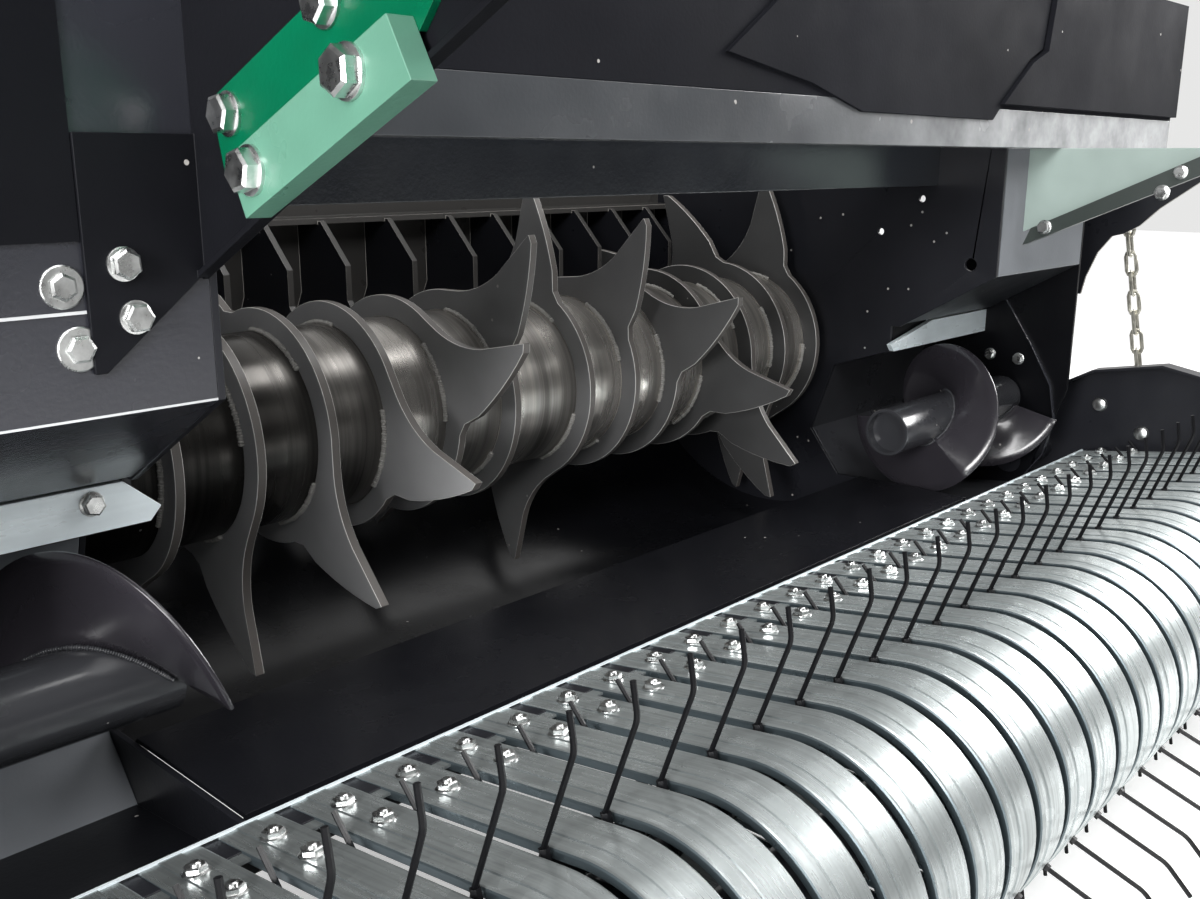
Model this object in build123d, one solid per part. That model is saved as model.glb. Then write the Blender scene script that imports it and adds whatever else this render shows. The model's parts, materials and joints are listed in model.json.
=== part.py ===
from build123d import *
import os
from math import atan2, cos, degrees, hypot, radians, sin

# Crop intake unit of a round baler: pick-up reel, side augers, star-tine feed
# rotor and the sheet-metal channel that carries them.
# Frame: +X to the right across the machine, +Y rearward into the machine, +Z up.
# The origin is the centre of the rear bolt rectangle, level with the rotor's axis.
# All sizes are in millimetres.

# Feed channel
HALF_CHANNEL = 600.0
WALL_T = 6.0
SHEET_T = 5.0
FRONT_Y = -789.0
FLOOR_FRONT_Y = -770.0
TOP_Z = 520.0
WALL_FOOT_Z = -300.0
LIP_Z = 123.0
FLANGE_T = 8.0
FLANGE_W = 100.0
SEAT_R = 62.0
SEAT_X = 40.0

# Star rotor
ROTOR_Y = -400.0
ROTOR_Z = 0.0
TUBE_R = 105.0
HUB_R = 130.0
TIP_R = 255.0
STAR_T = 10.0
STAR_STEP = 85.0
STAR_TWIST = 30.0
STAR_FREE = 47.5
ROTOR_SHAFT_R = 30.0
ROTOR_DRIVE_R = 25.0
ROTOR_DRIVE_L = 110.0
TIP_TO_FLOOR = 26.0

# Side augers
AUGER_Y = -680.0
AUGER_Z = -106.0
AUGER_R = 110.0
AUGER_TUBE_R = 35.0
AUGER_SHAFT_R = 20.0
AUGER_DRIVE_R = 16.0
AUGER_DRIVE_L = 40.0
FLIGHT_T = 4.0
FLIGHT_START = 16.0
AUGER_PITCH = 240.0
TROUGH_R = 150.0
LIP_BACK_Y = -534.0
TROUGH_T = 4.0
SCRAPER_Y = -632.0
COMB_T = 8.0

# Pick-up reel and guard bands
REEL_Y = -1062.0
REEL_Z = -284.0
GUARD_R = 124.5
GUARD_T = 2.5
GUARD_SLOPE = 9.0
GUARD_REAR_Y = -785.0
TINE_PITCH = 61.0
SLOT_W = 12.0
TINE_D = 6.0
BAR_CIRCLE_R = 82.0
BAR_R = 10.0
REEL_TUBE_R = 30.0
REEL_SHAFT_R = 20.0
REEL_DRIVE_R = 17.5
REEL_DRIVE_L = 72.0
RAIL_W = 48.0
TINE_TIP_R = 231.0
SHIELD_X = 1030.0
SHIELD_T = 5.0
SHIELD_TO_AUGER = 130.0
SPIDER_R = 98.0
SPIDER_T = 6.0
BOSS = 34.0
PIVOT_Y = -700.0
PIVOT_Z = -215.0
PIVOT_R = 22.0

# Lift chain on the right side
BEAM_OVERHANG = 30.0
SHIELD_TO_ARM = 15.0
SHIELD_TO_CHAIN = 32.0
ARM_T = 5.0
CHAIN_TOP = (-800.0, 192.0)
CHAIN_LEAN = 10.0
CHAIN_PITCH = 33.0
CHAIN_D = 6.0
CHAIN_W = 22.0
CHAIN_LINKS = 8

# Clearances
RUNNING = 0.05
WELD_GAP = 0.2
LINK_GAP = 1.3
SIDE_GAP = 6.0
TIP_GAP = 7.5

# Fasteners
FLANGE_HOLE_R = 9.0
FLANGE_SPACING_X = 2 * (HALF_CHANNEL + FLANGE_W / 2)
FLANGE_SPACING_Z = 400.0

# Widths that follow from the ones above
AUGER_END_X = SHIELD_X - SHIELD_TO_AUGER
BEAM_END_X = SHIELD_X + BEAM_OVERHANG
ARM_X = SHIELD_X + SHIELD_TO_ARM
CHAIN_X = SHIELD_X + SHIELD_TO_CHAIN
TINES_PER_BAR = 2 * int((SHIELD_X - 20) / TINE_PITCH + 0.5)

os.makedirs("parts", exist_ok=True)


# Drawing helpers: every outline is a list of (y, z) points

def polar(cy, cz, r, angle):
    return (cy + r * cos(radians(angle)), cz + r * sin(radians(angle)))


def arc_points(cy, cz, r, start, end, steps):
    return [polar(cy, cz, r, start + (end - start) * i / steps) for i in range(steps + 1)]


def plate_yz(points, x, thickness):
    """Plate across the machine's width: outline in (y, z), from x to x + thickness."""
    outline = make_face(Polyline(*points, close=True))
    return extrude(Plane.YZ.offset(x) * outline, amount=thickness)


def plate_xz(points, y, thickness):
    """Upright plate facing the front: outline in (x, z), from y forward by thickness."""
    outline = make_face(Polyline(*points, close=True))
    return extrude(Plane.XZ.offset(-y) * outline, amount=thickness)


def rod_x(x0, x1, radius, y, z):
    return Pos((x0 + x1) / 2, y, z) * Rot(0, 90, 0) * Cylinder(radius, x1 - x0)


def block(x0, x1, y0, y1, z0, z1):
    centre = Pos((x0 + x1) / 2, (y0 + y1) / 2, (z0 + z1) / 2)
    return centre * Box(x1 - x0, y1 - y0, z1 - z0)


def thick_path(path, thickness):
    """Closed outline of a folded sheet: the path and its offset to the left of travel."""
    offset_side = []
    last = len(path) - 1
    for i, (y, z) in enumerate(path):
        before = path[max(i - 1, 0)]
        after = path[min(i + 1, last)]
        n0 = left_normal(before, (y, z)) if i > 0 else left_normal((y, z), after)
        n1 = left_normal((y, z), after) if i < last else n0
        scale = thickness / (1 + n0[0] * n1[0] + n0[1] * n1[1])
        offset_side.append((y + (n0[0] + n1[0]) * scale, z + (n0[1] + n1[1]) * scale))
    return path + offset_side[::-1]


def left_normal(a, b):
    length = hypot(b[0] - a[0], b[1] - a[1])
    return (-(b[1] - a[1]) / length, (b[0] - a[0]) / length)


def sheet_yz(path, thickness, x0, x1):
    return plate_yz(thick_path(path, thickness), x0, x1 - x0)


def save(node, *solids):
    solids = [s for group in solids for s in (group if isinstance(group, list) else [group])]
    shape = solids[0] if len(solids) == 1 else Compound(children=solids)
    export_step(shape, f"parts/{node}.step")


def mirrored(shape):
    return mirror(shape, about=Plane.YZ)


# Guard profile: a straight run from the rear edge, tangent to the round nose

GUARD_TANGENT = 90.0 - GUARD_SLOPE
SLOPE_DIR = (cos(radians(GUARD_SLOPE)), -sin(radians(GUARD_SLOPE)))


def guard_point(y, inset=0.0):
    """Point of the guards' straight run at y, inset below its outer face."""
    ty, tz = polar(REEL_Y, REEL_Z, GUARD_R - inset, GUARD_TANGENT)
    return (y, tz + (y - ty) * SLOPE_DIR[1] / SLOPE_DIR[0])


GUARD_REAR_Z = guard_point(GUARD_REAR_Y)[1]
RAMP_Z = GUARD_REAR_Z - 4.0
FLOOR_R = TIP_R + TIP_TO_FLOOR
FLOOR_FOLD = 180.0 + degrees(atan2(-(RAMP_Z - ROTOR_Z), 190.0))
FLOOR_END = 318.0


# Channel: side walls, floor with ramp, front panels

# The back of the auger troughs; the walls' openings follow it
TROUGH_BACK = [(-628, -1), (-531, -34), (-493, -143)]
TROUGH_LOW_FOLD = (-593, -267)


def wall_outline():
    return [
        (0, WALL_FOOT_Z + 60), (0, TOP_Z), (FRONT_Y, TOP_Z), (FRONT_Y, LIP_Z),
        (-642, 38), (-628, 38), *TROUGH_BACK, (-548, RAMP_Z - SHEET_T),
        (FLOOR_FRONT_Y, RAMP_Z - SHEET_T), (FLOOR_FRONT_Y, RAMP_Z - 26), (-700, -262),
        (-530, WALL_FOOT_Z), (-200, WALL_FOOT_Z),
    ]


WALL_HOLES = [
    # y, z, radius
    (-601, 179, 5.0),
    (-666, 229, 5.0),
    (-749, 138, 9.0),
    (-120, 420, 7.0),
    (-300, 420, 7.0),
]


def side_wall():
    """Right wall with its rear flange, holes and the rotor's bearing seat."""
    x0 = HALF_CHANNEL
    wall = plate_yz(wall_outline(), x0, WALL_T)
    for y, z, r in WALL_HOLES:
        wall -= rod_x(x0 - 5, x0 + WALL_T + 5, r, y, z)
    flange = block(x0 + WALL_T, x0 + FLANGE_W, -FLANGE_T, 0, WALL_FOOT_Z + 60, TOP_Z)
    for z in (-FLANGE_SPACING_Z / 2, FLANGE_SPACING_Z / 2):
        hole = Pos(FLANGE_SPACING_X / 2, -4, z) * Rot(90, 0, 0) * Cylinder(FLANGE_HOLE_R, 20)
        flange -= hole
    foot = block(x0 + WALL_T, x0 + 46, -500, -200, WALL_FOOT_Z, WALL_FOOT_Z + WALL_T)
    seat = rod_x(x0 + WALL_T, x0 + SEAT_X, SEAT_R, ROTOR_Y, ROTOR_Z)
    bore = rod_x(x0 - 5, x0 + 60, ROTOR_SHAFT_R + RUNNING, ROTOR_Y, ROTOR_Z)
    return wall + flange + foot + seat - bore


def floor_pan():
    """Ramp and round trough under the rotor, one folded sheet across the channel."""
    front = [(FLOOR_FRONT_Y, RAMP_Z - 22), (FLOOR_FRONT_Y, RAMP_Z)]
    trough = arc_points(ROTOR_Y, ROTOR_Z, FLOOR_R, FLOOR_FOLD, FLOOR_END, 16)
    end_y, end_z = trough[-1]
    tail = [(end_y + 90, end_z + 81)]
    path = front + trough + tail
    return sheet_yz(path[::-1], SHEET_T, -HALF_CHANNEL, HALF_CHANNEL)


def auger_trough():
    """Right auger trough: round bottom and folded back, up to the scraper."""
    start = degrees(atan2(RAMP_Z - AUGER_Z, GUARD_REAR_Y + 15 - AUGER_Y)) % 360
    round_part = arc_points(AUGER_Y, AUGER_Z, TROUGH_R, start, 268, 4)
    path = TROUGH_BACK + [TROUGH_LOW_FOLD] + round_part[::-1]
    return sheet_yz(path, TROUGH_T, HALF_CHANNEL + WALL_T, AUGER_END_X)


SCRAPER_TAPER = {"left": 20.0, "right": 118.0}
PANEL_TOP = {"left": TOP_Z, "right": 300.0}


def front_panel(side):
    """Front panel with its lower lip bent back to the scraper."""
    top = PANEL_TOP[side]
    path = [(FRONT_Y, top), (FRONT_Y, LIP_Z), (-646, 42), (LIP_BACK_Y, 42)]
    panel = sheet_yz(path, TROUGH_T, HALF_CHANNEL + WALL_T, AUGER_END_X)
    return panel if side == "right" else mirrored(panel)


def scraper(side):
    """Zinc bar over the auger; its inner end is cut to a taper."""
    taper = SCRAPER_TAPER[side]
    inner, outer = HALF_CHANNEL - 8, AUGER_END_X
    face = [(inner - 10, 12), (inner, 1), (outer, 1), (outer, 38), (inner + taper, 38)]
    bar = plate_xz(face, SCRAPER_Y, 8)
    heel = block(inner + taper, outer, SCRAPER_Y, SCRAPER_Y + 32, 32, 38)
    bar += heel
    return bar if side == "right" else mirrored(bar)


END_PLATE = [
    (-485, -275), (-485, 200), (FRONT_Y, 200), (FRONT_Y, -82), (-766, -150),
    (-742, -208), (-738, -275),
]


def end_plate():
    """Right outer plate: closes the trough, seats the auger and the pick-up pivot."""
    x0 = AUGER_END_X
    plate = plate_yz(END_PLATE, x0, WALL_T)
    plate += rod_x(x0 + WALL_T, x0 + BOSS, 48, AUGER_Y, AUGER_Z)
    plate += rod_x(x0 + WALL_T, x0 + BOSS, 34, PIVOT_Y, PIVOT_Z)
    plate -= rod_x(x0 - 5, x0 + 40, AUGER_SHAFT_R + RUNNING, AUGER_Y, AUGER_Z)
    plate -= rod_x(x0 - 5, x0 + 40, PIVOT_R + RUNNING, PIVOT_Y, PIVOT_Z)
    return plate


# Cross beams, stripper comb and hood

def stripper_comb():
    """Rear bar and sheet with a finger in the gap between each two stars."""
    bar = block(-HALF_CHANNEL, HALF_CHANNEL, -205, -150, 202, 210)
    bar += sheet_yz([(-158, 300), (-158, 112), (-128, 55)], COMB_T, -HALF_CHANNEL, HALF_CHANNEL)
    round_part = arc_points(ROTOR_Y, ROTOR_Z, TUBE_R + 13, 32, -15, 6)
    finger = [(-154, 206), (-210, 206), (-262, 152), (-262, 108)]
    finger += round_part + [(-200, -60), (-127, 58), (-154, 112)]
    for x in finger_places():
        bar += plate_yz(finger, x - COMB_T / 2, COMB_T)
    return bar


def star_places():
    """Rotor stars: x, the angle of one arm; a V of two opposite twists."""
    steps = (HALF_CHANNEL - STAR_FREE) / STAR_STEP
    left = [(-STAR_STEP * (k + 1), 128 + STAR_TWIST * k) for k in range(int(steps))]
    right = [(STAR_STEP * (k + 0.5), 94 + STAR_TWIST * k) for k in range(int(steps + 0.5))]
    return left + right


def finger_places():
    xs = sorted(x for x, angle in star_places())
    between = [(a + b) / 2 for a, b in zip(xs, xs[1:])]
    return [xs[0] - STAR_STEP / 2] + between + [xs[-1] + STAR_STEP / 2]


def cross_beam(y_front, y_back, z_low, z_high, x0, x1, t=5.0):
    """Channel-section beam: front face with a lower and an upper flange."""
    beam = block(x0, x1, y_front, y_front + t, z_low, z_high)
    beam += block(x0, x1, y_front + t, y_back, z_low, z_low + t)
    beam += block(x0, x1, y_front + t, y_back, z_high - t, z_high)
    return beam


HOOD_MIDDLE = [
    (-125, 378), (-53, 427), (-10, TOP_Z), (560, TOP_Z), (540, 423), (504, 408),
    (412, 332), (108, 333), (13, 357),
]
HOOD_RIGHT = [
    (428, 351), (504, 404), (546, 420), (566, TOP_Z), (BEAM_END_X, TOP_Z), (BEAM_END_X, 351),
]


def hood():
    """Upright sheet above the front beam with two folded panels in front of it."""
    sheet = block(-HALF_CHANNEL, BEAM_END_X, -850, -846, 346, TOP_Z)
    sheet += plate_xz(HOOD_MIDDLE, -850, 4)
    sheet += plate_xz(HOOD_RIGHT, -850, 9)
    return sheet


# Rotor

# One arm of a star: the tip points along the first axis
ARM_HOLLOW = [(122, -55.5), (150, -31.5), (186, -15.5)]
ARM_TIP = [(TIP_R, -2.5), (TIP_R - 5, 7)]
ARM_BACK = [(203, 33), (152, 52.5)]
ARM_ROOT = (126, 55)


def star(x, angle):
    """Two-armed star: a hub ring with arms hollow on one side and humped on the other."""
    root_start = polar(0, 0, HUB_R, -43)
    root_end = polar(0, 0, HUB_R, 30)
    arm = [
        Line(root_start, ARM_HOLLOW[0]),
        ThreePointArc(*ARM_HOLLOW),
        Polyline(ARM_HOLLOW[-1], *ARM_TIP),
        ThreePointArc(ARM_TIP[-1], *ARM_BACK),
        Polyline(ARM_BACK[-1], ARM_ROOT, root_end),
        ThreePointArc(root_end, (-HUB_R, 0), root_start),
    ]
    face = make_face(arm)
    face += Rot(0, 0, 180) * face
    face -= Circle(TUBE_R + WELD_GAP)
    solid = extrude(Rot(0, 0, angle) * face, amount=STAR_T)
    stand_up = Plane(origin=(x - STAR_T / 2, ROTOR_Y, ROTOR_Z), x_dir=(0, 1, 0), z_dir=(1, 0, 0))
    return stand_up * solid


def rotor_tube():
    end = HALF_CHANNEL - SIDE_GAP
    tube = rod_x(-end, end, TUBE_R, ROTOR_Y, ROTOR_Z)
    shaft = HALF_CHANNEL + SEAT_X + SIDE_GAP
    tube += rod_x(-shaft, shaft, ROTOR_SHAFT_R, ROTOR_Y, ROTOR_Z)
    tube += rod_x(-shaft - ROTOR_DRIVE_L, -shaft, ROTOR_DRIVE_R, ROTOR_Y, ROTOR_Z)
    return tube


# Augers

AUGERS = {
    # inner end of the pipe, then the flight: angle, x from the wall's inner face
    "left": (HALF_CHANNEL - 30, [(180, FLIGHT_START)]),
    "right": (HALF_CHANNEL - 88, [(357, FLIGHT_START), (222, FLIGHT_START)]),
}


def flight_places(knots, x_end):
    """Angle and x of each ruling: flat between the knots, then a screw out to x_end."""
    places = [(a, HALF_CHANNEL + x) for a, x in knots]
    angle, x = places[-1]
    turn = 360 * (x_end - x) / AUGER_PITCH
    places.append((angle - turn, x_end))
    rulings = [places[0]]
    for (a0, x0), (a1, x1) in zip(places, places[1:]):
        steps = int((a0 - a1) / 18 + 1)
        rulings += [(a0 + (a1 - a0) * i / steps, x0 + (x1 - x0) * i / steps) for i in range(1, steps + 1)]
    return rulings


def flight(places):
    """Auger flight through the rulings, made of flat facets."""
    r_in = AUGER_TUBE_R + WELD_GAP
    rings = []
    for angle, x in places:
        corners = []
        for r, dx in ((r_in, 0), (AUGER_R, 0), (AUGER_R, -FLIGHT_T), (r_in, -FLIGHT_T)):
            y, z = polar(AUGER_Y, AUGER_Z, r, angle)
            corners.append(Vector(x + dx, y, z))
        rings.append(corners)
    faces = [Face(Wire.make_polygon(rings[0], close=True))]
    for a, b in zip(rings, rings[1:]):
        for k in range(4):
            j = (k + 1) % 4
            quad = [a[k], b[k], b[j], a[j]] if k < 2 else [a[j], a[k], b[k], b[j]]
            faces.append(Face(Wire.make_polygon(quad[:3], close=True)))
            faces.append(Face(Wire.make_polygon([quad[0], *quad[2:]], close=True)))
    faces.append(Face(Wire.make_polygon(rings[-1], close=True)))
    return Solid(Shell(faces))


def auger(side):
    """Auger: pipe open to the channel, flight and the outer shaft."""
    pipe_start, knots = AUGERS[side]
    pipe_end = AUGER_END_X - SIDE_GAP
    shaft_end = AUGER_END_X + BOSS + 4
    pipe = rod_x(pipe_start, pipe_end, AUGER_TUBE_R, AUGER_Y, AUGER_Z)
    pipe += rod_x(pipe_end, shaft_end, AUGER_SHAFT_R, AUGER_Y, AUGER_Z)
    pipe += rod_x(shaft_end, shaft_end + AUGER_DRIVE_L, AUGER_DRIVE_R, AUGER_Y, AUGER_Z)
    parts = [pipe, flight(flight_places(knots, pipe_end - 18))]
    return parts if side == "right" else [mirrored(p) for p in parts]


# Pick-up: guard bands on the frame, reel inside them

LOWER_Z = REEL_Z - GUARD_R + GUARD_T
LOWER_Y = REEL_Y + ((TINE_TIP_R + TIP_GAP) ** 2 - (REEL_Z - LOWER_Z) ** 2) ** 0.5


def guard_path():
    nose = arc_points(REEL_Y, REEL_Z, GUARD_R - GUARD_T, GUARD_TANGENT, 270, 24)
    rear = guard_point(GUARD_REAR_Y, GUARD_T)
    tail = [(LOWER_Y + RAIL_W, LOWER_Z)]
    return [rear] + nose + tail


def guard_bands():
    """Sheet bands with a slot between each two for a row of tines."""
    width = TINE_PITCH - SLOT_W
    path = guard_path()
    outline = thick_path(path[::-1], GUARD_T)
    count = TINES_PER_BAR - 1
    middle = (count - 1) / 2
    return [plate_yz(outline, (i - middle) * TINE_PITCH - width / 2, width) for i in range(count)]


def band_rails():
    """Top rail under the bands' rear ends and a lower rail, both clear of the tips."""
    top = [guard_point(y, GUARD_T) for y in (-824, -788)]
    upper = top + [(-788, -244), (-792, -244), (-792, -209), (-824, -205)]
    y0, y1 = LOWER_Y, LOWER_Y + RAIL_W
    lower = [(y0, LOWER_Z), (y1, LOWER_Z), (y1, LOWER_Z + 40), (y1 - 4, LOWER_Z + 40),
             (y1 - 4, LOWER_Z + 4), (y0, LOWER_Z + 4)]
    return [plate_yz(outline, -SHIELD_X, 2 * SHIELD_X) for outline in (upper, lower)]


SHIELD = [
    (-656, -262), (-656, -176), (-741, -89), (-789, -62), (-901, -41), (-960, -52),
]


def shield():
    """Right end shield: carries the rails, the reel's bearing and the pivot tube."""
    nose = arc_points(REEL_Y, REEL_Z, 172, 60, 290, 14)
    outline = SHIELD + nose + [(-790, -425), (-700, -330)]
    plate = plate_yz(outline, SHIELD_X, SHIELD_T)
    plate += rod_x(SHIELD_X + SHIELD_T, SHIELD_X + BOSS, 45, REEL_Y, REEL_Z)
    plate -= rod_x(SHIELD_X - 5, SHIELD_X + 40, REEL_SHAFT_R + RUNNING, REEL_Y, REEL_Z)
    plate += rod_x(AUGER_END_X + 1, SHIELD_X, PIVOT_R, PIVOT_Y, PIVOT_Z)
    fold = [(-741, -89), (-789, -62), (-901, -41), (-960, -52), (-975, -72)]
    plate += sheet_yz(fold, 4.0, SHIELD_X - 28, SHIELD_X)
    return plate


TINE_BARS = [
    # angle of the tips, angle of the bar, lean of the tines
    (84.6, 62.0, "leaning"),
    (264.6, 242.0, "leaning"),
    (26.0, 30.0, "upright"),
    (206.0, 210.0, "upright"),
]
TINE_SHAPES = {
    # r and angle behind the tips: coil, slot, bend
    "leaning": [(101.0, 27.0), (127.0, 16.3), (202.7, -0.6)],
    "upright": [(92.0, -4.0), (126.0, -3.0), (205.5, -3.5)],
}


def tine_outline(tip_angle, lean):
    path = [polar(REEL_Y, REEL_Z, r, tip_angle - back) for r, back in TINE_SHAPES[lean]]
    path.append(polar(REEL_Y, REEL_Z, TINE_TIP_R, tip_angle))
    return thick_path(path, TINE_D)


def tine_bar(tip_angle, bar_angle, lean):
    """One bar across the reel with its row of bent tines."""
    y, z = polar(REEL_Y, REEL_Z, BAR_CIRCLE_R, bar_angle)
    bar = rod_x(-REEL_END_X, REEL_END_X, BAR_R, y, z)
    outline = tine_outline(tip_angle, lean)
    middle = (TINES_PER_BAR - 1) / 2
    coil = [polar(y, z, 17.0, a) for a in range(0, 360, 60)]
    for i in range(TINES_PER_BAR):
        x = (i - middle) * TINE_PITCH
        bar += plate_yz(coil, x - 9, 18)
        bar += plate_yz(outline, x - TINE_D / 2, TINE_D)
    return bar


REEL_END_X = SHIELD_X - 8
SPIDERS = (-REEL_END_X, -500.0, 0.0, 500.0, REEL_END_X - SPIDER_T)


def reel_core():
    """Reel tube, end shafts and the spider discs that hold the tine bars."""
    shaft = SHIELD_X + BOSS + 4
    core = rod_x(-REEL_END_X, REEL_END_X, REEL_TUBE_R, REEL_Y, REEL_Z)
    core += rod_x(-shaft, shaft, REEL_SHAFT_R, REEL_Y, REEL_Z)
    core += rod_x(-shaft - REEL_DRIVE_L, -shaft, REEL_DRIVE_R, REEL_Y, REEL_Z)
    for x in SPIDERS:
        disc = rod_x(x, x + SPIDER_T, SPIDER_R, REEL_Y, REEL_Z)
        for tip_angle, bar_angle, lean in TINE_BARS:
            y, z = polar(REEL_Y, REEL_Z, BAR_CIRCLE_R, bar_angle)
            disc -= rod_x(x - 1, x + SPIDER_T + 1, BAR_R, y, z)
        core += disc
    return core


# Brackets

COVER_EDGE = [(FRONT_Y, 206), (-1180, 402)]


def cover_left():
    """Left cover ahead of the wall, with a folded lower edge and a mounting flange."""
    x1 = -HALF_CHANNEL - WALL_T
    outline = COVER_EDGE + [(-1180, TOP_Z), (FRONT_Y, TOP_Z)]
    plate = plate_yz(outline, x1 - 5, 5)
    plate += sheet_yz([(-792, 207.5)] + COVER_EDGE[1:], -4.0, x1 - 10, x1 - 5)
    flange = [(x1, 214), (x1 - 76, 152), (x1 - 84, 152), (x1 - 84, 300), (x1, 300)]
    plate += plate_xz(flange, FRONT_Y, 4)
    return plate


BRACKET_PLATE = [
    (-826, 320), (-838, 272), (-1016, 352), (-1034, 346), (-1046, 360), (-1034, 408),
]
BRACKET_ANGLE = [(-870, 285), (-887, 250), (-1048, 322), (-1030, 354)]
GUSSET = [(-806, 186), (-1036, 292), (-1036, 300), (-806, 300)]
GUSSET_BAR = [(-812, 168), (-822, 192), (-1034, 290), (-1040, 268)]
CHAIN_ARM = [
    (-740, 60), (-746, 90), (-762, 132), (-783, 160), (-802, 165), (-826, 179),
    (-855, 208), (-911, 250), (-962, 288), (-962, 300), (-700, 300), (-700, 60),
]


def stadium(half_width, half_length):
    """Outline of an oval: two round ends of radius half_width."""
    ends = half_length - half_width
    upper = arc_points(0, ends, half_width, 0, 180, 4)
    lower = arc_points(0, -ends, half_width, 180, 360, 4)
    return upper + lower


def chain_link():
    """Oval link about the origin, its long axis along Z, of eight-sided wire."""
    half_length = (CHAIN_PITCH + LINK_GAP) / 2 + CHAIN_D
    outer = plate_yz(stadium(CHAIN_W / 2, half_length), -CHAIN_D / 2, CHAIN_D)
    inner = plate_yz(stadium(CHAIN_W / 2 - CHAIN_D, half_length - CHAIN_D), -CHAIN_D, 2 * CHAIN_D)
    link = outer - inner
    sides = link.faces().sort_by(Axis.X)
    return chamfer(sides[0].edges() + sides[-1].edges(), 0.3 * CHAIN_D)


def lift_chain():
    """Hook pin on the arm and a row of links, each turned a quarter from the last."""
    y0, z0 = CHAIN_TOP
    pin_r = (CHAIN_W - 2 * CHAIN_D) / 2 - 1.0
    drop = (CHAIN_PITCH - LINK_GAP) / 2 - pin_r
    pin = rod_x(ARM_X + ARM_T, CHAIN_X + 10, pin_r, y0, z0)
    pin += rod_x(CHAIN_X + 6, CHAIN_X + 10, 11, y0, z0)
    chain = [pin]
    for i in range(CHAIN_LINKS):
        down = Pos(0, 0, -drop - i * CHAIN_PITCH)
        hang = Pos(CHAIN_X, y0, z0) * Rot(-CHAIN_LEAN, 0, 0)
        chain.append(hang * down * Rot(0, 0, 90 * (i % 2)) * chain_link())
    return chain


save("wall_right", side_wall())
save("wall_left", mirrored(side_wall()))
save("floor_pan", floor_pan())
save("auger_trough_right", auger_trough())
save("auger_trough_left", mirrored(auger_trough()))
save("front_panel_right", front_panel("right"))
save("front_panel_left", front_panel("left"))
save("scraper_right", scraper("right"))
save("scraper_left", scraper("left"))
save("end_plate_right", end_plate())
save("end_plate_left", mirrored(end_plate()))
save("stripper_comb", stripper_comb())
save("beam_middle", cross_beam(-690, -640, 248, 312, -HALF_CHANNEL, HALF_CHANNEL))
save("beam_front", cross_beam(-850, FRONT_Y, 300, 346, -HALF_CHANNEL, BEAM_END_X))
save("hood_panels", hood())
save("cover_left", cover_left())
save("bracket_plate_left", plate_yz(BRACKET_PLATE, -HALF_CHANNEL - 16, 5))
save("bracket_angle_left", plate_yz(BRACKET_ANGLE, -HALF_CHANNEL - 33, 17))
save("gusset_right", plate_yz(GUSSET, HALF_CHANNEL + 36, 4))
save("bracket_angle_right", plate_yz(GUSSET_BAR, HALF_CHANNEL + 24, 12))
save("chain_arm_right", plate_yz(CHAIN_ARM, ARM_X, ARM_T))
save("lift_chain", lift_chain())
save("rotor_tube", rotor_tube())
save("rotor_stars", [star(x, angle) for x, angle in star_places()])
save("auger_right", auger("right"))
save("auger_left", auger("left"))
save("guard_bands", guard_bands())
save("band_rails", band_rails())
save("shield_right", shield())
save("shield_left", mirrored(shield()))
save("reel_core", reel_core())
for number, row in enumerate(TINE_BARS, 1):
    save(f"tine_bar_{number}", tine_bar(*row))
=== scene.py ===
"""Looks of the round baler intake unit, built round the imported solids.

Every size is in metres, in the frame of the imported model: +X to the right
across the machine, +Y rearward, +Z up.
"""
import json
from math import atan2, ceil, cos, pi, radians, sin

import bmesh
import bpy
from bpy.props import FloatProperty, FloatVectorProperty, PointerProperty
from mathutils import Euler, Matrix, Quaternion, Vector


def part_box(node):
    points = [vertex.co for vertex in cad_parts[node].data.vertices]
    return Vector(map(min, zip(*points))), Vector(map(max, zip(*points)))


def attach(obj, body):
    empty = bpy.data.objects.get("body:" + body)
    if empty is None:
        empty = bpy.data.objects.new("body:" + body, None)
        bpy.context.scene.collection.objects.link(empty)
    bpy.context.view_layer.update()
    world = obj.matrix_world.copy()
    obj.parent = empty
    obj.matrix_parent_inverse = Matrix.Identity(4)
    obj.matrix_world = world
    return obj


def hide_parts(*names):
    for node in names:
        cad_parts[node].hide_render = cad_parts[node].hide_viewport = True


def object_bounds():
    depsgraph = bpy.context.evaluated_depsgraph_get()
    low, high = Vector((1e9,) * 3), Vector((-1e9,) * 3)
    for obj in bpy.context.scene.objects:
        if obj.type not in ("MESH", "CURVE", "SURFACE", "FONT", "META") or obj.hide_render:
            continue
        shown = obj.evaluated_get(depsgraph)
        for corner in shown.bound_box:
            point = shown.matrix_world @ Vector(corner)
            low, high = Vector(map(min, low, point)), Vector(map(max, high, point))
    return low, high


bl_info = {
    "name": "Round baler intake",
    "version": (1, 0, 0),
    "blender": (4, 5, 0),
    "location": "3D View > Sidebar > Intake",
    "description": "Pick-up, side augers, feed rotor and channel of a round baler",
    "category": "Object",
}

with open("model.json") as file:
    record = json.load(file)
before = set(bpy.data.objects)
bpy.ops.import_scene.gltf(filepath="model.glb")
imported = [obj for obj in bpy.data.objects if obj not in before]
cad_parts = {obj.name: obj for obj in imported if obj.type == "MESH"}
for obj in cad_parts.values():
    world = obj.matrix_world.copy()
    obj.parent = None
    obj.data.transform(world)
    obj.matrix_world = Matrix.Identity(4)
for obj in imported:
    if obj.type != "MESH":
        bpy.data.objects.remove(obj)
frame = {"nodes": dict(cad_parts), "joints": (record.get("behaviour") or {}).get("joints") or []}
CAD_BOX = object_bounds()


# Places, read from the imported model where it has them

def joint_place(name):
    return next(Vector(j["pos_m"]) for j in frame["joints"] if j["name"] == name)


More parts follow.
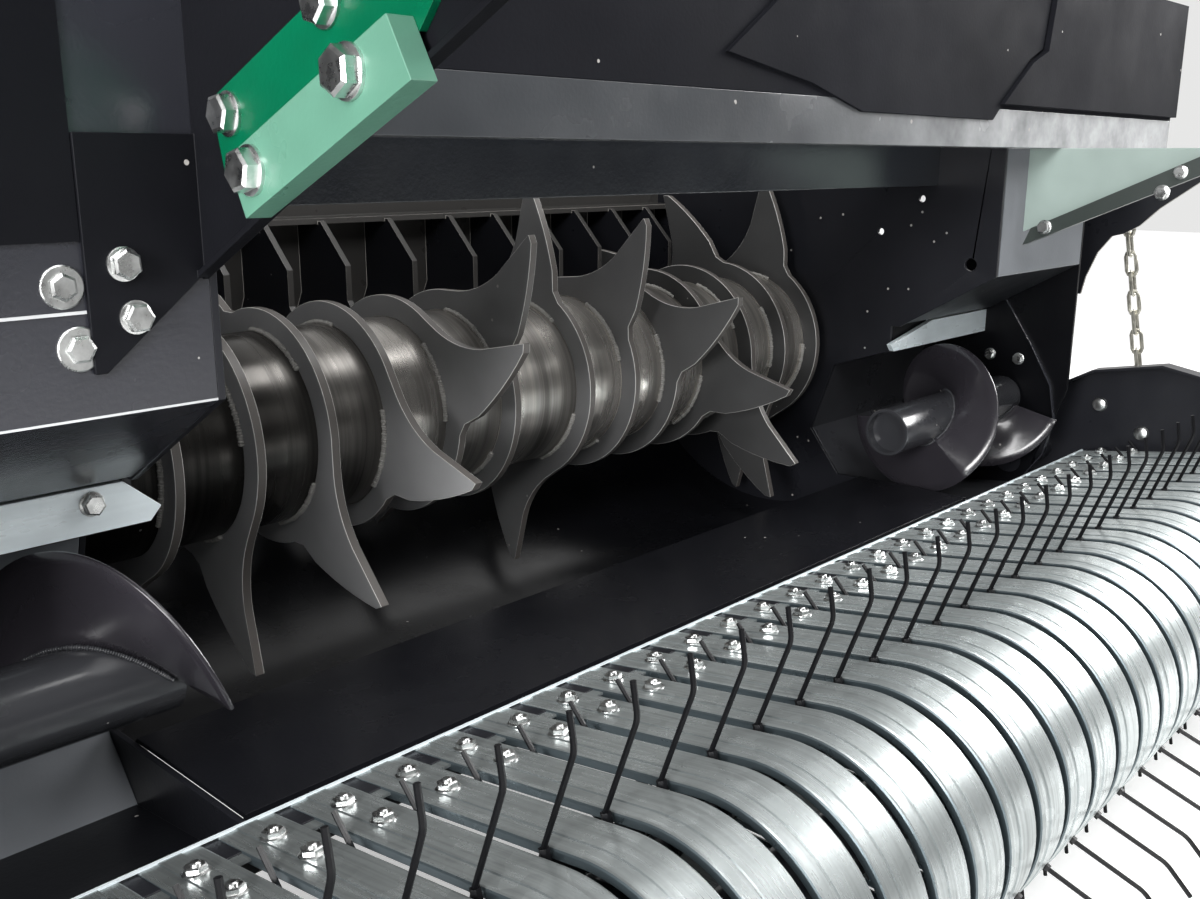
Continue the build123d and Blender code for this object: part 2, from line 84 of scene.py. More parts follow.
ROTOR = joint_place("rotor_spin")
REEL = joint_place("reel_spin")
AUGER = joint_place("auger_right_spin")
WALL_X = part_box("wall_right")[0].x
PANEL_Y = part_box("wall_right")[0].y
AUGER_END_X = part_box("end_plate_right")[0].x
SHIELD_IN_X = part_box("band_rails")[1].x
REEL_END_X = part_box("tine_bar_1")[1].x
GUARD_R = REEL.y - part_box("guard_bands")[0].y
GUARD_TAIL_RUN = 0.253
GUARD_TAIL_Y = REEL.y + GUARD_TAIL_RUN
GUARD_REAR_Y = -0.785
HALF_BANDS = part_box("guard_bands")[1].x

# Pick-up tines: radius, degrees behind the tip
TINE_TIP_R = 0.2295
TINE_SHAPES = {
    "leaning": [(0.101, 27.0), (0.127, 16.3), (0.2027, -0.6), (TINE_TIP_R, 0.0)],
    "upright": [(0.092, -4.0), (0.126, -3.0), (0.1960, 0.6), (TINE_TIP_R, -2.4)],
}
TINE_ROWS = [
    # angle of the tips, angle of the bar, shape
    (84.6, 62.0, "leaning"),
    (264.6, 242.0, "leaning"),
    (26.0, 30.0, "upright"),
    (206.0, 210.0, "upright"),
]
BAR_CIRCLE_R = 0.082
BAR_R = 0.010

STAR_STEP = 0.085
STARS_LEFT = int(-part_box("rotor_stars")[0].x / STAR_STEP)
STARS_RIGHT = int(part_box("rotor_stars")[1].x / STAR_STEP + 0.5)
STAR_XS = [-STAR_STEP * (k + 1) for k in range(STARS_LEFT)]
STAR_XS += [STAR_STEP * (k + 0.5) for k in range(STARS_RIGHT)]


class IntakeSettings(bpy.types.PropertyGroup):
    """Sizes and colours that a user may change before the pieces are built."""

    tine_pitch: FloatProperty(
        name="Tine pitch", description="Distance between two tines of a row",
        default=0.061, unit="LENGTH")
    tine_wire: FloatProperty(
        name="Tine wire", description="Diameter of the spring wire of a tine",
        default=0.0047, unit="LENGTH")
    slot_width: FloatProperty(
        name="Slot width", description="Gap between two guard bands",
        default=0.012, unit="LENGTH")
    band_thickness: FloatProperty(
        name="Band thickness", description="Sheet thickness of the guard bands",
        default=0.0025, unit="LENGTH")
    guard_slope: FloatProperty(
        name="Guard slope", description="Slope of the bands' straight run",
        default=radians(9.0), subtype="ANGLE")
    bead_size: FloatProperty(
        name="Weld bead", description="Width of the rotor's weld beads",
        default=0.0065, unit="LENGTH")
    black: FloatVectorProperty(
        name="Black paint", description="Colour of the walls, beams and hood",
        default=(0.013, 0.0135, 0.017), subtype="COLOR", size=3)
    grey: FloatVectorProperty(
        name="Grey paint", description="Colour of the auger pipes and the right trough",
        default=(0.040, 0.041, 0.046), subtype="COLOR", size=3)
    rotor_steel: FloatVectorProperty(
        name="Rotor steel", description="Colour of the rotor's turned tube",
        default=(0.80, 0.76, 0.71), subtype="COLOR", size=3)
    zinc: FloatVectorProperty(
        name="Zinc", description="Colour of galvanised sheet",
        default=(0.74, 0.80, 0.80), subtype="COLOR", size=3)
    green: FloatVectorProperty(
        name="Green", description="Colour of the bracket plate",
        default=(0.0, 0.098, 0.044), subtype="COLOR", size=3)
    pale_green: FloatVectorProperty(
        name="Pale green", description="Colour of the bracket angles",
        default=(0.095, 0.225, 0.163), subtype="COLOR", size=3)
    mint: FloatVectorProperty(
        name="Pale mint", description="Colour of the right gusset",
        default=(0.33, 0.405, 0.375), subtype="COLOR", size=3)


def settings():
    return bpy.context.scene.intake


class Tree:
    """A node tree; any input takes a value or the socket of another node."""

    def __init__(self, tree):
        self.tree = tree

    def feed(self, node, values):
        """Gives each named or numbered input its value, or joins it to the socket given."""
        for key, value in values.items():
            socket = node.inputs[key]
            if isinstance(value, bpy.types.NodeSocket):
                self.tree.links.new(value, socket)
            else:
                socket.default_value = value

    def add(self, kind, inputs=None, **node_settings):
        node = self.tree.nodes.new(kind)
        for name, value in node_settings.items():
            setattr(node, name, value)
        self.feed(node, inputs or {})
        return node

    def made(self, kind, inputs=None, **node_settings):
        """The first output of a new node."""
        return self.add(kind, inputs, **node_settings).outputs[0]

    def math(self, operation, *values):
        return self.made("ShaderNodeMath", dict(enumerate(values)), operation=operation)

    def vector(self, operation, first, second=None):
        """Vector maths: LENGTH and DOT_PRODUCT give a number, the others a vector."""
        inputs = {0: first}
        if second is not None:
            inputs["Scale" if operation == "SCALE" else 1] = second
        node = self.add("ShaderNodeVectorMath", inputs, operation=operation)
        return node.outputs["Value" if operation in ("LENGTH", "DOT_PRODUCT") else "Vector"]

    def point(self, **axes):
        return self.made("ShaderNodeCombineXYZ", axes)

    def axis(self, vector, axis):
        return self.add("ShaderNodeSeparateXYZ", {"Vector": vector}).outputs[axis]

    def ranged(self, value, start, end, low=0.0, high=1.0):
        """A value mapped from start and end to low and high, and held at both ends."""
        return self.made("ShaderNodeMapRange", {
            "Value": value, "From Min": start, "From Max": end, "To Min": low, "To Max": high})

    def noise(self, where, scale, detail, roughness=0.5):
        return self.made("ShaderNodeTexNoise", {
            "Vector": where, "Scale": scale, "Detail": detail, "Roughness": roughness})

    def cells(self, where, scale):
        """Cells: the distance to the middle of each, and a random value for each."""
        cells = self.add("ShaderNodeTexVoronoi", {"Vector": where, "Scale": scale}).outputs
        parts = self.add("ShaderNodeSeparateColor", {"Color": cells["Color"]}).outputs
        return cells["Distance"], parts["Red"]

    def mix(self, factor, *colours):
        """The first colour where the factor is 0, the second where it is 1."""
        first, second = (c if isinstance(c, bpy.types.NodeSocket) else (*c, 1.0) for c in colours)
        node = self.add("ShaderNodeMix", {0: factor, 6: first, 7: second}, data_type="RGBA")
        return node.outputs[2]

    def bump(self, height, strength, distance):
        return self.made("ShaderNodeBump", {
            "Height": height, "Strength": strength, "Distance": distance})

    def group(self, name, inputs):
        return self.add("ShaderNodeGroup", inputs, node_tree=bpy.data.node_groups[name]).outputs

    def clouds(self, where, scale, low, high):
        return self.group("Clouds", {
            "Vector": where, "Scale": scale, "Low": low, "High": high})["Value"]

    def flecks(self, where, scale, size, share):
        return self.group("Flecks", {
            "Vector": where, "Scale": scale, "Size": size, "Share": share})["Mask"]

    def cut_edge(self, place, plate_normal):
        return self.group("Cut edge", {"Normal": place["Normal"], "Plate normal": plate_normal})

    def copies(self, points, piece, **turn_and_size):
        """Copies of an object on each point."""
        info = self.add("GeometryNodeObjectInfo", {"Object": piece})
        return self.made("GeometryNodeInstanceOnPoints", {
            "Points": points, "Instance": info.outputs["Geometry"], **turn_and_size})

    def painted_light_ramp(self, where, surface, painted_light_fade):
        """Colour times a factor along the machine, a painted gradient of light and shade; the span
        holds from X, to X, both factors.
        """
        return self.vector("SCALE", surface, self.ranged(self.axis(where, "X"), *painted_light_fade))


def live(sockets, name):
    """The socket of that name that the node's settings leave in use."""
    return next(s for s in sockets if s.name == name and s.enabled)


def new_tree(name, tree_kind, inputs, outputs):
    """A node group with named sockets: name, kind of socket and perhaps a default."""
    group = bpy.data.node_groups.new(name, tree_kind)
    for in_out, rows in (("INPUT", inputs), ("OUTPUT", outputs)):
        for socket_name, kind, *default in rows:
            socket = group.interface.new_socket(
                socket_name, in_out=in_out, socket_type="NodeSocket" + kind)
            if default:
                socket.default_value = default[0]
    tree = Tree(group)
    return tree, tree.add("NodeGroupInput").outputs, tree.add("NodeGroupOutput")


# Shader groups

def flecks_group():
    """Small round flecks, such as spatter and grit, on a share of the cells."""
    tree, inp, out = new_tree("Flecks", "ShaderNodeTree", [
        ("Vector", "Vector"), ("Scale", "Float", 60.0),
        ("Size", "Float", 0.12), ("Share", "Float", 0.2),
    ], [("Mask", "Float")])
    distance, chance = tree.cells(inp["Vector"], inp["Scale"])
    near = tree.math("LESS_THAN", distance, inp["Size"])
    chosen = tree.math("LESS_THAN", chance, inp["Share"])
    tree.feed(out, {"Mask": tree.math("MULTIPLY", near, chosen)})


def clouds_group():
    """Slow uneven tone between two values."""
    tree, inp, out = new_tree("Clouds", "ShaderNodeTree", [
        ("Vector", "Vector"), ("Scale", "Float", 4.0),
        ("Low", "Float", 0.0), ("High", "Float", 1.0),
    ], [("Value", "Float")])
    tone = tree.noise(inp["Vector"], inp["Scale"], 4.0, 0.6)
    tree.feed(out, {"Value": tree.ranged(tone, 0.32, 0.68, inp["Low"], inp["High"])})


def cut_edge_group():
    """Masks of a plate's cut faces and of the softened rims beside them."""
    tree, inp, out = new_tree("Cut edge", "ShaderNodeTree", [
        ("Normal", "Vector"), ("Plate normal", "Vector", (1.0, 0.0, 0.0)),
    ], [("Mask", "Float"), ("Rim", "Float")])
    across = tree.vector("DOT_PRODUCT", inp["Normal"], inp["Plate normal"])
    flat = tree.math("ABSOLUTE", across)
    rim = tree.math("MULTIPLY", tree.ranged(flat, 0.10, 0.35),
                    tree.ranged(flat, 0.80, 0.97, 1.0, 0.0))
    tree.feed(out, {"Mask": tree.ranged(flat, 0.95, 0.6), "Rim": rim})


def bloom_group():
    """Galvanised bloom: spangle cells, streaks along the sheet that are partly painted reflection,
    and cloudy tone.
    """
    tree, inp, out = new_tree("Zinc bloom", "ShaderNodeTree", [
        ("Vector", "Vector"), ("Streak", "Vector", (260.0, 5.0, 5.0)),
        ("Spangle", "Float", 70.0),
    ], [("Tone", "Float"), ("Roughness", "Float")])
    # The streaks stand partly for painted reflection along roll-formed sheet.
    stretched = tree.vector("MULTIPLY", inp["Vector"], inp["Streak"])
    streaks = tree.noise(stretched, 1.0, 3.0)
    _, cell = tree.cells(inp["Vector"], inp["Spangle"])
    cloud = tree.noise(inp["Vector"], 14.0, 5.0, 0.65)
    mixed = tree.math("MULTIPLY", streaks, 0.55)
    mixed = tree.math("MULTIPLY_ADD", cell, 0.10, mixed)
    mixed = tree.math("MULTIPLY_ADD", cloud, 0.38, mixed)
    tree.feed(out, {"Tone": tree.ranged(mixed, 0.34, 0.74),
                    "Roughness": tree.ranged(mixed, 0.34, 0.74, 0.38, 0.20)})


# Materials

GRIT = (0.42, 0.40, 0.38)
SPATTER = (0.75, 0.74, 0.72)
# Painted reflection: the light grey a sheet pales to, and the reach over which it does so.
PAINTED_SHEEN = (0.55, 0.56, 0.57)
PAINTED_SHEEN_REACH = 0.6
TROUGH_FLOOR = (0.0, 0.12, 0.99)


def start_material(name):
    """The tree of a new material, its Principled shader and the places on the surface."""
    material = bpy.data.materials.new(name)
    material.use_nodes = True
    material.node_tree.nodes.clear()
    tree = Tree(material.node_tree)
    shader = tree.add("ShaderNodeBsdfPrincipled")
    tree.add("ShaderNodeOutputMaterial", {"Surface": shader.outputs["BSDF"]})
    return tree, shader, tree.add("ShaderNodeTexCoord").outputs


def scaled(colour, factor):
    return tuple(min(1.0, c * factor) for c in colour)


def paint(name, colour, rough=(0.26, 0.40), fleck_share=0.05, fleck_size=0.10, fleck_scale=55.0,
          edge=None, edge_colour=(0.16, 0.145, 0.13), rim_highlight_colour=(0.42, 0.40, 0.37),
          coat=0.0, sheen=0.5, painted_sheen_from=None, floor_shade_colour=None, painted_light_fade=None):
    """Sprayed paint on sheet: cloudy gloss, orange peel, flecks of grit.

    edge is the plate's normal where its cut faces have a colour of their own, and their
    softened rims take a painted highlight; the other options give the X from which a painted
    reflection pales the sheet, the colour of painted shade on a trough's floor, and painted light
    and shade along the machine.
    """
    tree, shader, place = start_material(name)
    where = place["Object"]
    surface = tree.vector("SCALE", colour, tree.clouds(where, 3.5, 0.8, 1.25))
    # Painted light and shade: the colour grows lighter or darker along the machine.
    if painted_light_fade:
        surface = tree.painted_light_ramp(where, surface, painted_light_fade)
    # Painted shade: the faces that lie along the trough's floor take a darker colour than its
    # sloped faces.
    if floor_shade_colour:
        slope = tree.cut_edge(place, TROUGH_FLOOR)
        surface = tree.mix(slope["Mask"], floor_shade_colour, surface)
    if edge:
        cut = tree.cut_edge(place, edge)
        surface = tree.mix(cut["Mask"], surface, edge_colour)
        # Painted highlight: the softened rims beside the cut faces take a light colour.
        surface = tree.mix(cut["Rim"], surface, rim_highlight_colour)
    # Painted reflection: from this X the paint pales towards light grey in clouds.
    if painted_sheen_from is not None:
        tone_and_sheen = tree.ranged(tree.axis(where, "X"), painted_sheen_from, painted_sheen_from + PAINTED_SHEEN_REACH, 0.0, 0.9)
        share = tree.math("MULTIPLY", tone_and_sheen, tree.clouds(where, 16.0, 0.4, 1.0))
        surface = tree.mix(share, surface, PAINTED_SHEEN)
    grit = tree.flecks(where, fleck_scale, fleck_size, fleck_share)
    height = tree.math("MULTIPLY_ADD", grit, 0.8, tree.noise(where, 260.0, 2.0))
    tree.feed(shader, {
        "Base Color": tree.mix(grit, surface, GRIT),
        "Roughness": tree.clouds(where, 9.0, *rough), "Specular IOR Level": sheen,
        "Coat Weight": coat, "Coat Roughness": 0.12,
        "Normal": tree.bump(height, 0.06, 0.002)})


def galvanised(name, colour, dark, metallic, streak=(260.0, 5.0, 5.0), spangle=70.0,
               slot_shade_colour=None, painted_light_fade=None):
    """Hot-dip zinc on sheet: streaks along the sheet that are partly painted reflection, blooms and
    uneven gloss; painted shade on the sides down in the slots, and painted light along the machine
    where given.
    """
    tree, shader, place = start_material(name)
    where = place["Object"]
    bloom = tree.group("Zinc bloom", {"Vector": where, "Streak": streak, "Spangle": spangle})
    surface = tree.mix(bloom["Tone"], scaled(colour, dark), scaled(colour, 1.1))
    # Painted light and shade along the machine.
    if painted_light_fade:
        surface = tree.painted_light_ramp(where, surface, painted_light_fade)
    # Painted shade: the sides that face across the machine, down in the slots, take a dark colour.
    if slot_shade_colour:
        across = tree.group("Cut edge", {"Normal": place["Normal"]})
        surface = tree.mix(across["Mask"], slot_shade_colour, surface)
    tree.feed(shader, {
        "Base Color": surface, "Roughness": bloom["Roughness"], "Metallic": metallic,
        "Normal": tree.bump(bloom["Tone"], 0.08, 0.0008)})


def turned(name, colour, painted_light_fade):
    """Turned steel: rings round the tube, uneven gloss and weld spatter; the rings are partly
    turning marks and partly painted reflection, and the tube is darker towards its left end as
    painted shade.
    """
    tree, shader, place = start_material(name)
    where = place["Object"]
    # Fine rings are turning marks; the broad bands along the tube are painted reflection.
    fine = tree.noise(tree.vector("MULTIPLY", where, (260.0, 3.0, 3.0)), 1.0, 3.0)
    broad = tree.noise(tree.vector("MULTIPLY", where, (22.0, 3.0, 3.0)), 1.0, 2.0)
    tone_and_sheen = tree.math("MULTIPLY_ADD", fine, 0.22, tree.math("MULTIPLY", broad, 0.78))
    surface = tree.mix(tree.ranged(tone_and_sheen, 0.36, 0.62), scaled(colour, 0.22), colour)
    # Painted shade: darker towards the tube's left end.
    surface = tree.painted_light_ramp(where, surface, painted_light_fade)
    grit = tree.flecks(where, 60.0, 0.09, 0.10)
    tree.feed(shader, {
        "Base Color": tree.mix(grit, surface, SPATTER),
        "Roughness": tree.ranged(tone_and_sheen, 0.36, 0.62, 0.40, 0.22), "Metallic": 0.85,
        "Normal": tree.bump(fine, 0.05, 0.001)})


def plated(name, colour, rough=(0.22, 0.38)):
    """Plated steel of bolts, nuts and links."""
    tree, shader, place = start_material(name)
    where = place["Object"]
    tone = tree.clouds(where, 60.0, 0.0, 1.0)
    tree.feed(shader, {
        "Base Color": tree.mix(tone, scaled(colour, 0.6), colour),
        "Roughness": tree.clouds(where, 90.0, *rough), "Metallic": 1.0})


def make_materials():
    for build in (flecks_group, clouds_group, cut_edge_group, bloom_group):
        build()
    s = settings()
    black, grey = tuple(s.black), tuple(s.grey)
    paint("Black sheet", black, sheen=0.35)
    paint("Cover sheet", scaled(black, 0.5), rough=(0.34, 0.46), sheen=0.08)
    # Painted highlight on the plate's softened rims, from the default rim colour.
    paint("Black plate", black, edge=(1.0, 0.0, 0.0), sheen=0.4)
    paint("End sheet", scaled(black, 0.3), sheen=0.12)
    paint("Panel sheet", scaled(black, 1.8), rough=(0.20, 0.30), fleck_share=0.03, sheen=0.9)
    paint("Grey sheet", grey)
    # Painted shade: the trough's floor is darker than its lighter grey sloped faces.
    paint("Trough sheet", (0.150, 0.160, 0.175), rough=(0.28, 0.40), sheen=0.3,
          floor_shade_colour=scaled(black, 0.6))
    paint("Floor sheet", scaled(black, 0.6), rough=(0.20, 0.30), fleck_share=0.04, sheen=0.30)
    paint("Hood sheet", scaled(black, 0.9), rough=(0.58, 0.70), fleck_share=0.08, fleck_size=0.10,
          sheen=0.02)
    # Painted reflection: the beam pales towards its right end.
    paint("Beam sheet", (0.052, 0.056, 0.062), rough=(0.18, 0.30), fleck_share=0.16,
          fleck_size=0.13, sheen=0.8, painted_sheen_from=0.0)
    # Painted highlight: light grey strips along the left panel's joint and fold.
    paint("Bright edge", (0.50, 0.51, 0.52), rough=(0.22, 0.34), fleck_share=0.2)
    paint("Cross beam sheet", (0.018, 0.021, 0.026), rough=(0.14, 0.26), fleck_share=0.08,
          sheen=0.9)
    # Painted shade on the tube's left end.
    turned("Rotor steel", tuple(s.rotor_steel), painted_light_fade=(-0.40, -0.05, 0.08, 1.0))
    # Painted light: the star faces are lighter towards the rotor's left end; their softened rims
    # carry a painted highlight.
    paint("Star plate", (0.40, 0.40, 0.405), rough=(0.34, 0.46), fleck_share=0.03,
          painted_light_fade=(-0.45, 0.30, 0.90, 0.14),
          edge=(1.0, 0.0, 0.0), edge_colour=(0.115, 0.105, 0.098), rim_highlight_colour=(0.85, 0.83, 0.80))
    # Painted highlight on the comb's softened rims, from the default rim colour.
    paint("Comb plate", scaled(black, 0.8), rough=(0.25, 0.36), sheen=0.3,
          edge=(1.0, 0.0, 0.0), edge_colour=(0.05, 0.048, 0.046))
    paint("Auger pipe", scaled(grey, 0.9), rough=(0.18, 0.30), fleck_share=0.04, coat=0.3)
    paint("Auger flight", (0.024, 0.022, 0.027), rough=(0.18, 0.30), fleck_share=0.06, coat=0.45)
    paint("Spring wire", (0.005, 0.005, 0.006), rough=(0.34, 0.46), fleck_share=0.0, sheen=0.2)
    paint("Green gloss", tuple(s.green), rough=(0.24, 0.34), fleck_share=0.02, sheen=0.3)
    paint("Pale green gloss", tuple(s.pale_green), rough=(0.24, 0.34), fleck_share=0.0, coat=0.15)
    paint("Pale mint gloss", tuple(s.mint), rough=(0.30, 0.42), fleck_share=0.0)
    paint("Grey green gloss", scaled(tuple(s.mint), 0.12), rough=(0.30, 0.42), fleck_share=0.05)
    paint("Weld", (0.36, 0.35, 0.33), rough=(0.18, 0.34), fleck_share=0.30, fleck_scale=220.0,
          fleck_size=0.3)
    # Painted light: the bands brighten towards the right, and their slot sides carry painted shade.
    galvanised("Galvanised bands", tuple(s.zinc), dark=0.5, metallic=0.70,
               slot_shade_colour=(0.10, 0.13, 0.145), painted_light_fade=(-0.75, 0.30, 0.42, 1.14))
    galvanised("Galvanised bar", (0.80, 0.88, 0.92), streak=(6.0, 90.0, 90.0), dark=0.9,
               spangle=45.0, metallic=0.15)
    plated("Plated steel", (0.86, 0.87, 0.86))
    plated("Chain steel", (0.70, 0.68, 0.60), rough=(0.28, 0.45))


# Geometry Nodes trees

def geometry_tree(name, inputs):
    """A tree with geometry in and out, and a material for what it makes."""
    return new_tree(name, "GeometryNodeTree", [
        ("Geometry", "Geometry"), *inputs, ("Material", "Material"),
    ], [("Geometry", "Geometry")])


def finish_tree(tree, instances, inp, out):
    """Every tree ends alike: instances made real, and one material."""
    real = tree.made("GeometryNodeRealizeInstances", {"Geometry": instances})
    tree.feed(out, {"Geometry": tree.made("GeometryNodeSetMaterial", {
        "Geometry": real, "Material": inp["Material"]})})


def row_tree():
    """Copies of one piece along X at a fixed pitch, centred on the machine."""
    tree, inp, out = geometry_tree("Row of pieces", [
        ("Piece", "Object"), ("Count", "Int", 2), ("Pitch", "Float", 0.061)])
    gaps = tree.math("SUBTRACT", inp["Count"], 1.0)
    length = tree.math("MULTIPLY", gaps, inp["Pitch"])
    line = tree.made("GeometryNodeMeshLine", {
        "Count": inp["Count"], "Offset": tree.point(X=inp["Pitch"]),
        "Start Location": tree.point(X=tree.math("MULTIPLY", length, -0.5))}, mode="OFFSET")
    finish_tree(tree, tree.copies(line, inp["Piece"]), inp, out)


def fastener_tree():
    """A fastener on each point, turned along its attribute way and scaled by size."""
    tree, inp, out = geometry_tree("Set of fasteners", [("Piece", "Object")])
    way = tree.made("GeometryNodeInputNamedAttribute", {"Name": "way"}, data_type="FLOAT_VECTOR")
    size = tree.made("GeometryNodeInputNamedAttribute", {"Name": "size"}, data_type="FLOAT")
    spin = tree.add("FunctionNodeRandomValue", {"Seed": 5}, data_type="FLOAT")
    live(spin.inputs, "Max").default_value = pi
    own = tree.made("FunctionNodeEulerToRotation", {
        "Euler": tree.point(Z=live(spin.outputs, "Value"))})
    aligned = tree.made("FunctionNodeAlignRotationToVector", {
        "Vector": way, "Rotation": own}, axis="Z")
    copies = tree.copies(inp["Geometry"], inp["Piece"], Rotation=aligned, Scale=size)
    finish_tree(tree, copies, inp, out)


def bead_tree():
    """A weld bead: flattened drops in a row along each line of the source."""
    tree, inp, out = geometry_tree("Weld bead", [("Bead size", "Float", 0.006)])
    curve = tree.made("GeometryNodeMeshToCurve", {"Mesh": inp["Geometry"]})
    points = tree.made("GeometryNodeResampleCurve", {
        "Curve": curve, "Length": tree.math("MULTIPLY", inp["Bead size"], 0.42)}, mode="LENGTH")
    aligned = tree.made("FunctionNodeAlignRotationToVector", {
        "Vector": tree.made("GeometryNodeInputTangent")}, axis="Z")
    drop = tree.made("GeometryNodeMeshIcoSphere", {
        "Radius": tree.math("MULTIPLY", inp["Bead size"], 0.5), "Subdivisions": 2})
    spread = tree.add("FunctionNodeRandomValue", {"Seed": 11}, data_type="FLOAT")
    live(spread.inputs, "Min").default_value = 0.82
    live(spread.inputs, "Max").default_value = 1.15
    drops = tree.made("GeometryNodeInstanceOnPoints", {
        "Points": points, "Instance": drop, "Rotation": aligned,
        "Scale": tree.vector("SCALE", (1.0, 1.0, 0.6), live(spread.outputs, "Value"))})
    finish_tree(tree, drops, inp, out)


def flight_tree():
    """A screw flight: a grid wound about the auger's axis."""
    tree, inp, out = geometry_tree("Screw flight", [
        ("Start", "Float", 0.0), ("Length", "Float", 0.24),
        ("Inner radius", "Float", 0.035), ("Outer radius", "Float", 0.11),
        ("Start angle", "Float", 0.0), ("Turn", "Float", 4.0),
        ("Axis place", "Vector", (0.0, 0.0, 0.0))])
    grid = tree.made("GeometryNodeMeshGrid", {
        "Size X": 1.0, "Size Y": 1.0, "Vertices X": 73, "Vertices Y": 7})
    place = tree.made("GeometryNodeInputPosition")
    along = tree.math("ADD", tree.axis(place, "X"), 0.5)
    across = tree.math("ADD", tree.axis(place, "Y"), 0.5)
    angle = tree.math("MULTIPLY_ADD", along, inp["Turn"], inp["Start angle"])
    depth = tree.math("SUBTRACT", inp["Outer radius"], inp["Inner radius"])
    radius = tree.math("MULTIPLY_ADD", across, depth, inp["Inner radius"])
    where = tree.point(
        X=tree.math("MULTIPLY_ADD", along, inp["Length"], inp["Start"]),
        Y=tree.math("MULTIPLY", radius, tree.math("COSINE", angle)),
        Z=tree.math("MULTIPLY", radius, tree.math("SINE", angle)))
    wound = tree.made("GeometryNodeSetPosition", {
        "Geometry": grid, "Position": tree.vector("ADD", where, inp["Axis place"])})
    finish_tree(tree, wound, inp, out)


def soft_edge_tree():
    """Joins a solid's loose triangles and smooths its round faces, for a bevel after it."""
    tree, inp, out = new_tree("Joined sheet", "GeometryNodeTree", [
        ("Geometry", "Geometry"), ("Sharp angle", "Float", radians(28.0)),
    ], [("Geometry", "Geometry")])
    joined = tree.made("GeometryNodeMergeByDistance", {
        "Geometry": inp["Geometry"], "Distance": 0.00001})
    smooth = tree.made("GeometryNodeSetShadeSmooth", {
        "Geometry": joined, "Shade Smooth": True}, domain="FACE")
    fold = tree.add("GeometryNodeInputMeshEdgeAngle").outputs["Unsigned Angle"]
    gentle = tree.math("LESS_THAN", fold, inp["Sharp angle"])
    tree.feed(out, {"Geometry": tree.made("GeometryNodeSetShadeSmooth", {
        "Geometry": smooth, "Shade Smooth": gentle}, domain="EDGE")})


def grow(source, tree_name, material, **values):
    """Runs a tree on source and gives the result as a plain mesh; source is removed."""
    values["Material"] = bpy.data.materials[material]
    tree = bpy.data.node_groups[tree_name]
    modifier = source.modifiers.new(tree_name, "NODES")
    modifier.node_group = tree
    for item in tree.interface.items_tree:
        if item.item_type == "SOCKET" and item.in_out == "INPUT" and item.name in values:
            modifier[item.identifier] = values[item.name]
    return plain_mesh(source)


def grow_copies(name, tree_name, material, template, source_mesh, **values):
    """Runs a tree that sets copies of the template mesh on the source."""
    piece = new_object(name + "_template", template)
    source = new_object(name + "_source", source_mesh)
    mesh = grow(source, tree_name, material, Piece=piece, **values)
    bpy.data.objects.remove(piece)
    return mesh


def band_count():
    s = settings()
    return round((2 * HALF_BANDS + s.slot_width) / s.tine_pitch)


def row_of(name, material, template, count):
    """Copies of the template mesh in a row across the machine, at the tines' pitch."""
    return grow_copies(name, "Row of pieces", material, template, mesh_of(name, [], []),
                       Count=count, Pitch=settings().tine_pitch)


# Mesh helpers

def new_object(name, data):
    obj = bpy.data.objects.new(name, data)
    bpy.context.scene.collection.objects.link(obj)
    return obj


def mesh_of(name, verts, faces, edges=()):
    mesh = bpy.data.meshes.new(name)
    mesh.from_pydata([tuple(v) for v in verts], list(edges), faces)
    mesh.update()
    return mesh


def plain_mesh(holder):
    """The finished mesh of a curve or of an object with modifiers, which is removed."""
    graph = bpy.context.evaluated_depsgraph_get()
    mesh = bpy.data.meshes.new_from_object(holder.evaluated_get(graph), depsgraph=graph)
    bpy.data.objects.remove(holder)
    return mesh


def set_piece(name, mesh, body, material=None, replaces=(), smooth=None):
    """Places a finished mesh as a piece that rides on a body."""
    obj = new_object(name, mesh)
    if material:
        mesh.materials.clear()
        mesh.materials.append(bpy.data.materials[material])
    if smooth is not None:
        shade(mesh, smooth)
    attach(obj, body)
    if replaces:
        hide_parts(*replaces)
    return obj


def shade(mesh, degrees):
    """Smooth shading with sharp edges above an angle."""
    mesh.polygons.foreach_set("use_smooth", [True] * len(mesh.polygons))
    mesh.set_sharp_from_angle(angle=radians(degrees))


def soften(obj, width, segments=1):
    """Bevels a piece's edges that turn by more than 30 degrees."""
    edge = obj.modifiers.new("Soft edges", "BEVEL")
    edge.width = width
    edge.segments = segments
    edge.limit_method = "ANGLE"
    return edge


def join_meshes(name, meshes):
    """One mesh out of several, without materials."""
    out = bmesh.new()
    for mesh in meshes:
        out.from_mesh(mesh)
    joined = bpy.data.meshes.new(name)
    out.to_mesh(joined)
    out.free()
    return joined


def merge_doubles(mesh, close=False):
    """Merges doubles, and on request closes the ends and points the faces outwards."""
    work = bmesh.new()
    work.from_mesh(mesh)
    bmesh.ops.remove_doubles(work, verts=work.verts, dist=0.000005)
    if close:
        bmesh.ops.holes_fill(work, edges=[e for e in work.edges if e.is_boundary])
        bmesh.ops.recalc_face_normals(work, faces=work.faces)
    work.to_mesh(mesh)
    work.free()


def loft(name, verts, n):
    """A closed mesh through rings of n points each, one ring after the other."""
    faces = []
    for k in range(len(verts) // n - 1):
        for i in range(n):
            j = (i + 1) % n
            faces.append((k * n + i, k * n + j, (k + 1) * n + j, (k + 1) * n + i))
    mesh = mesh_of(name, verts, faces)
    merge_doubles(mesh, close=True)
    return mesh


def lathe(name, profile, centre, steps=72):
    """Solid of revolution about an axis along X: (x, radius) points from end to end."""
    verts = []
    for x, r in profile:
        for i in range(steps):
            a = 2 * pi * i / steps
            verts.append((x, centre.y + r * cos(a), centre.z + r * sin(a)))
    return loft(name, verts, steps)


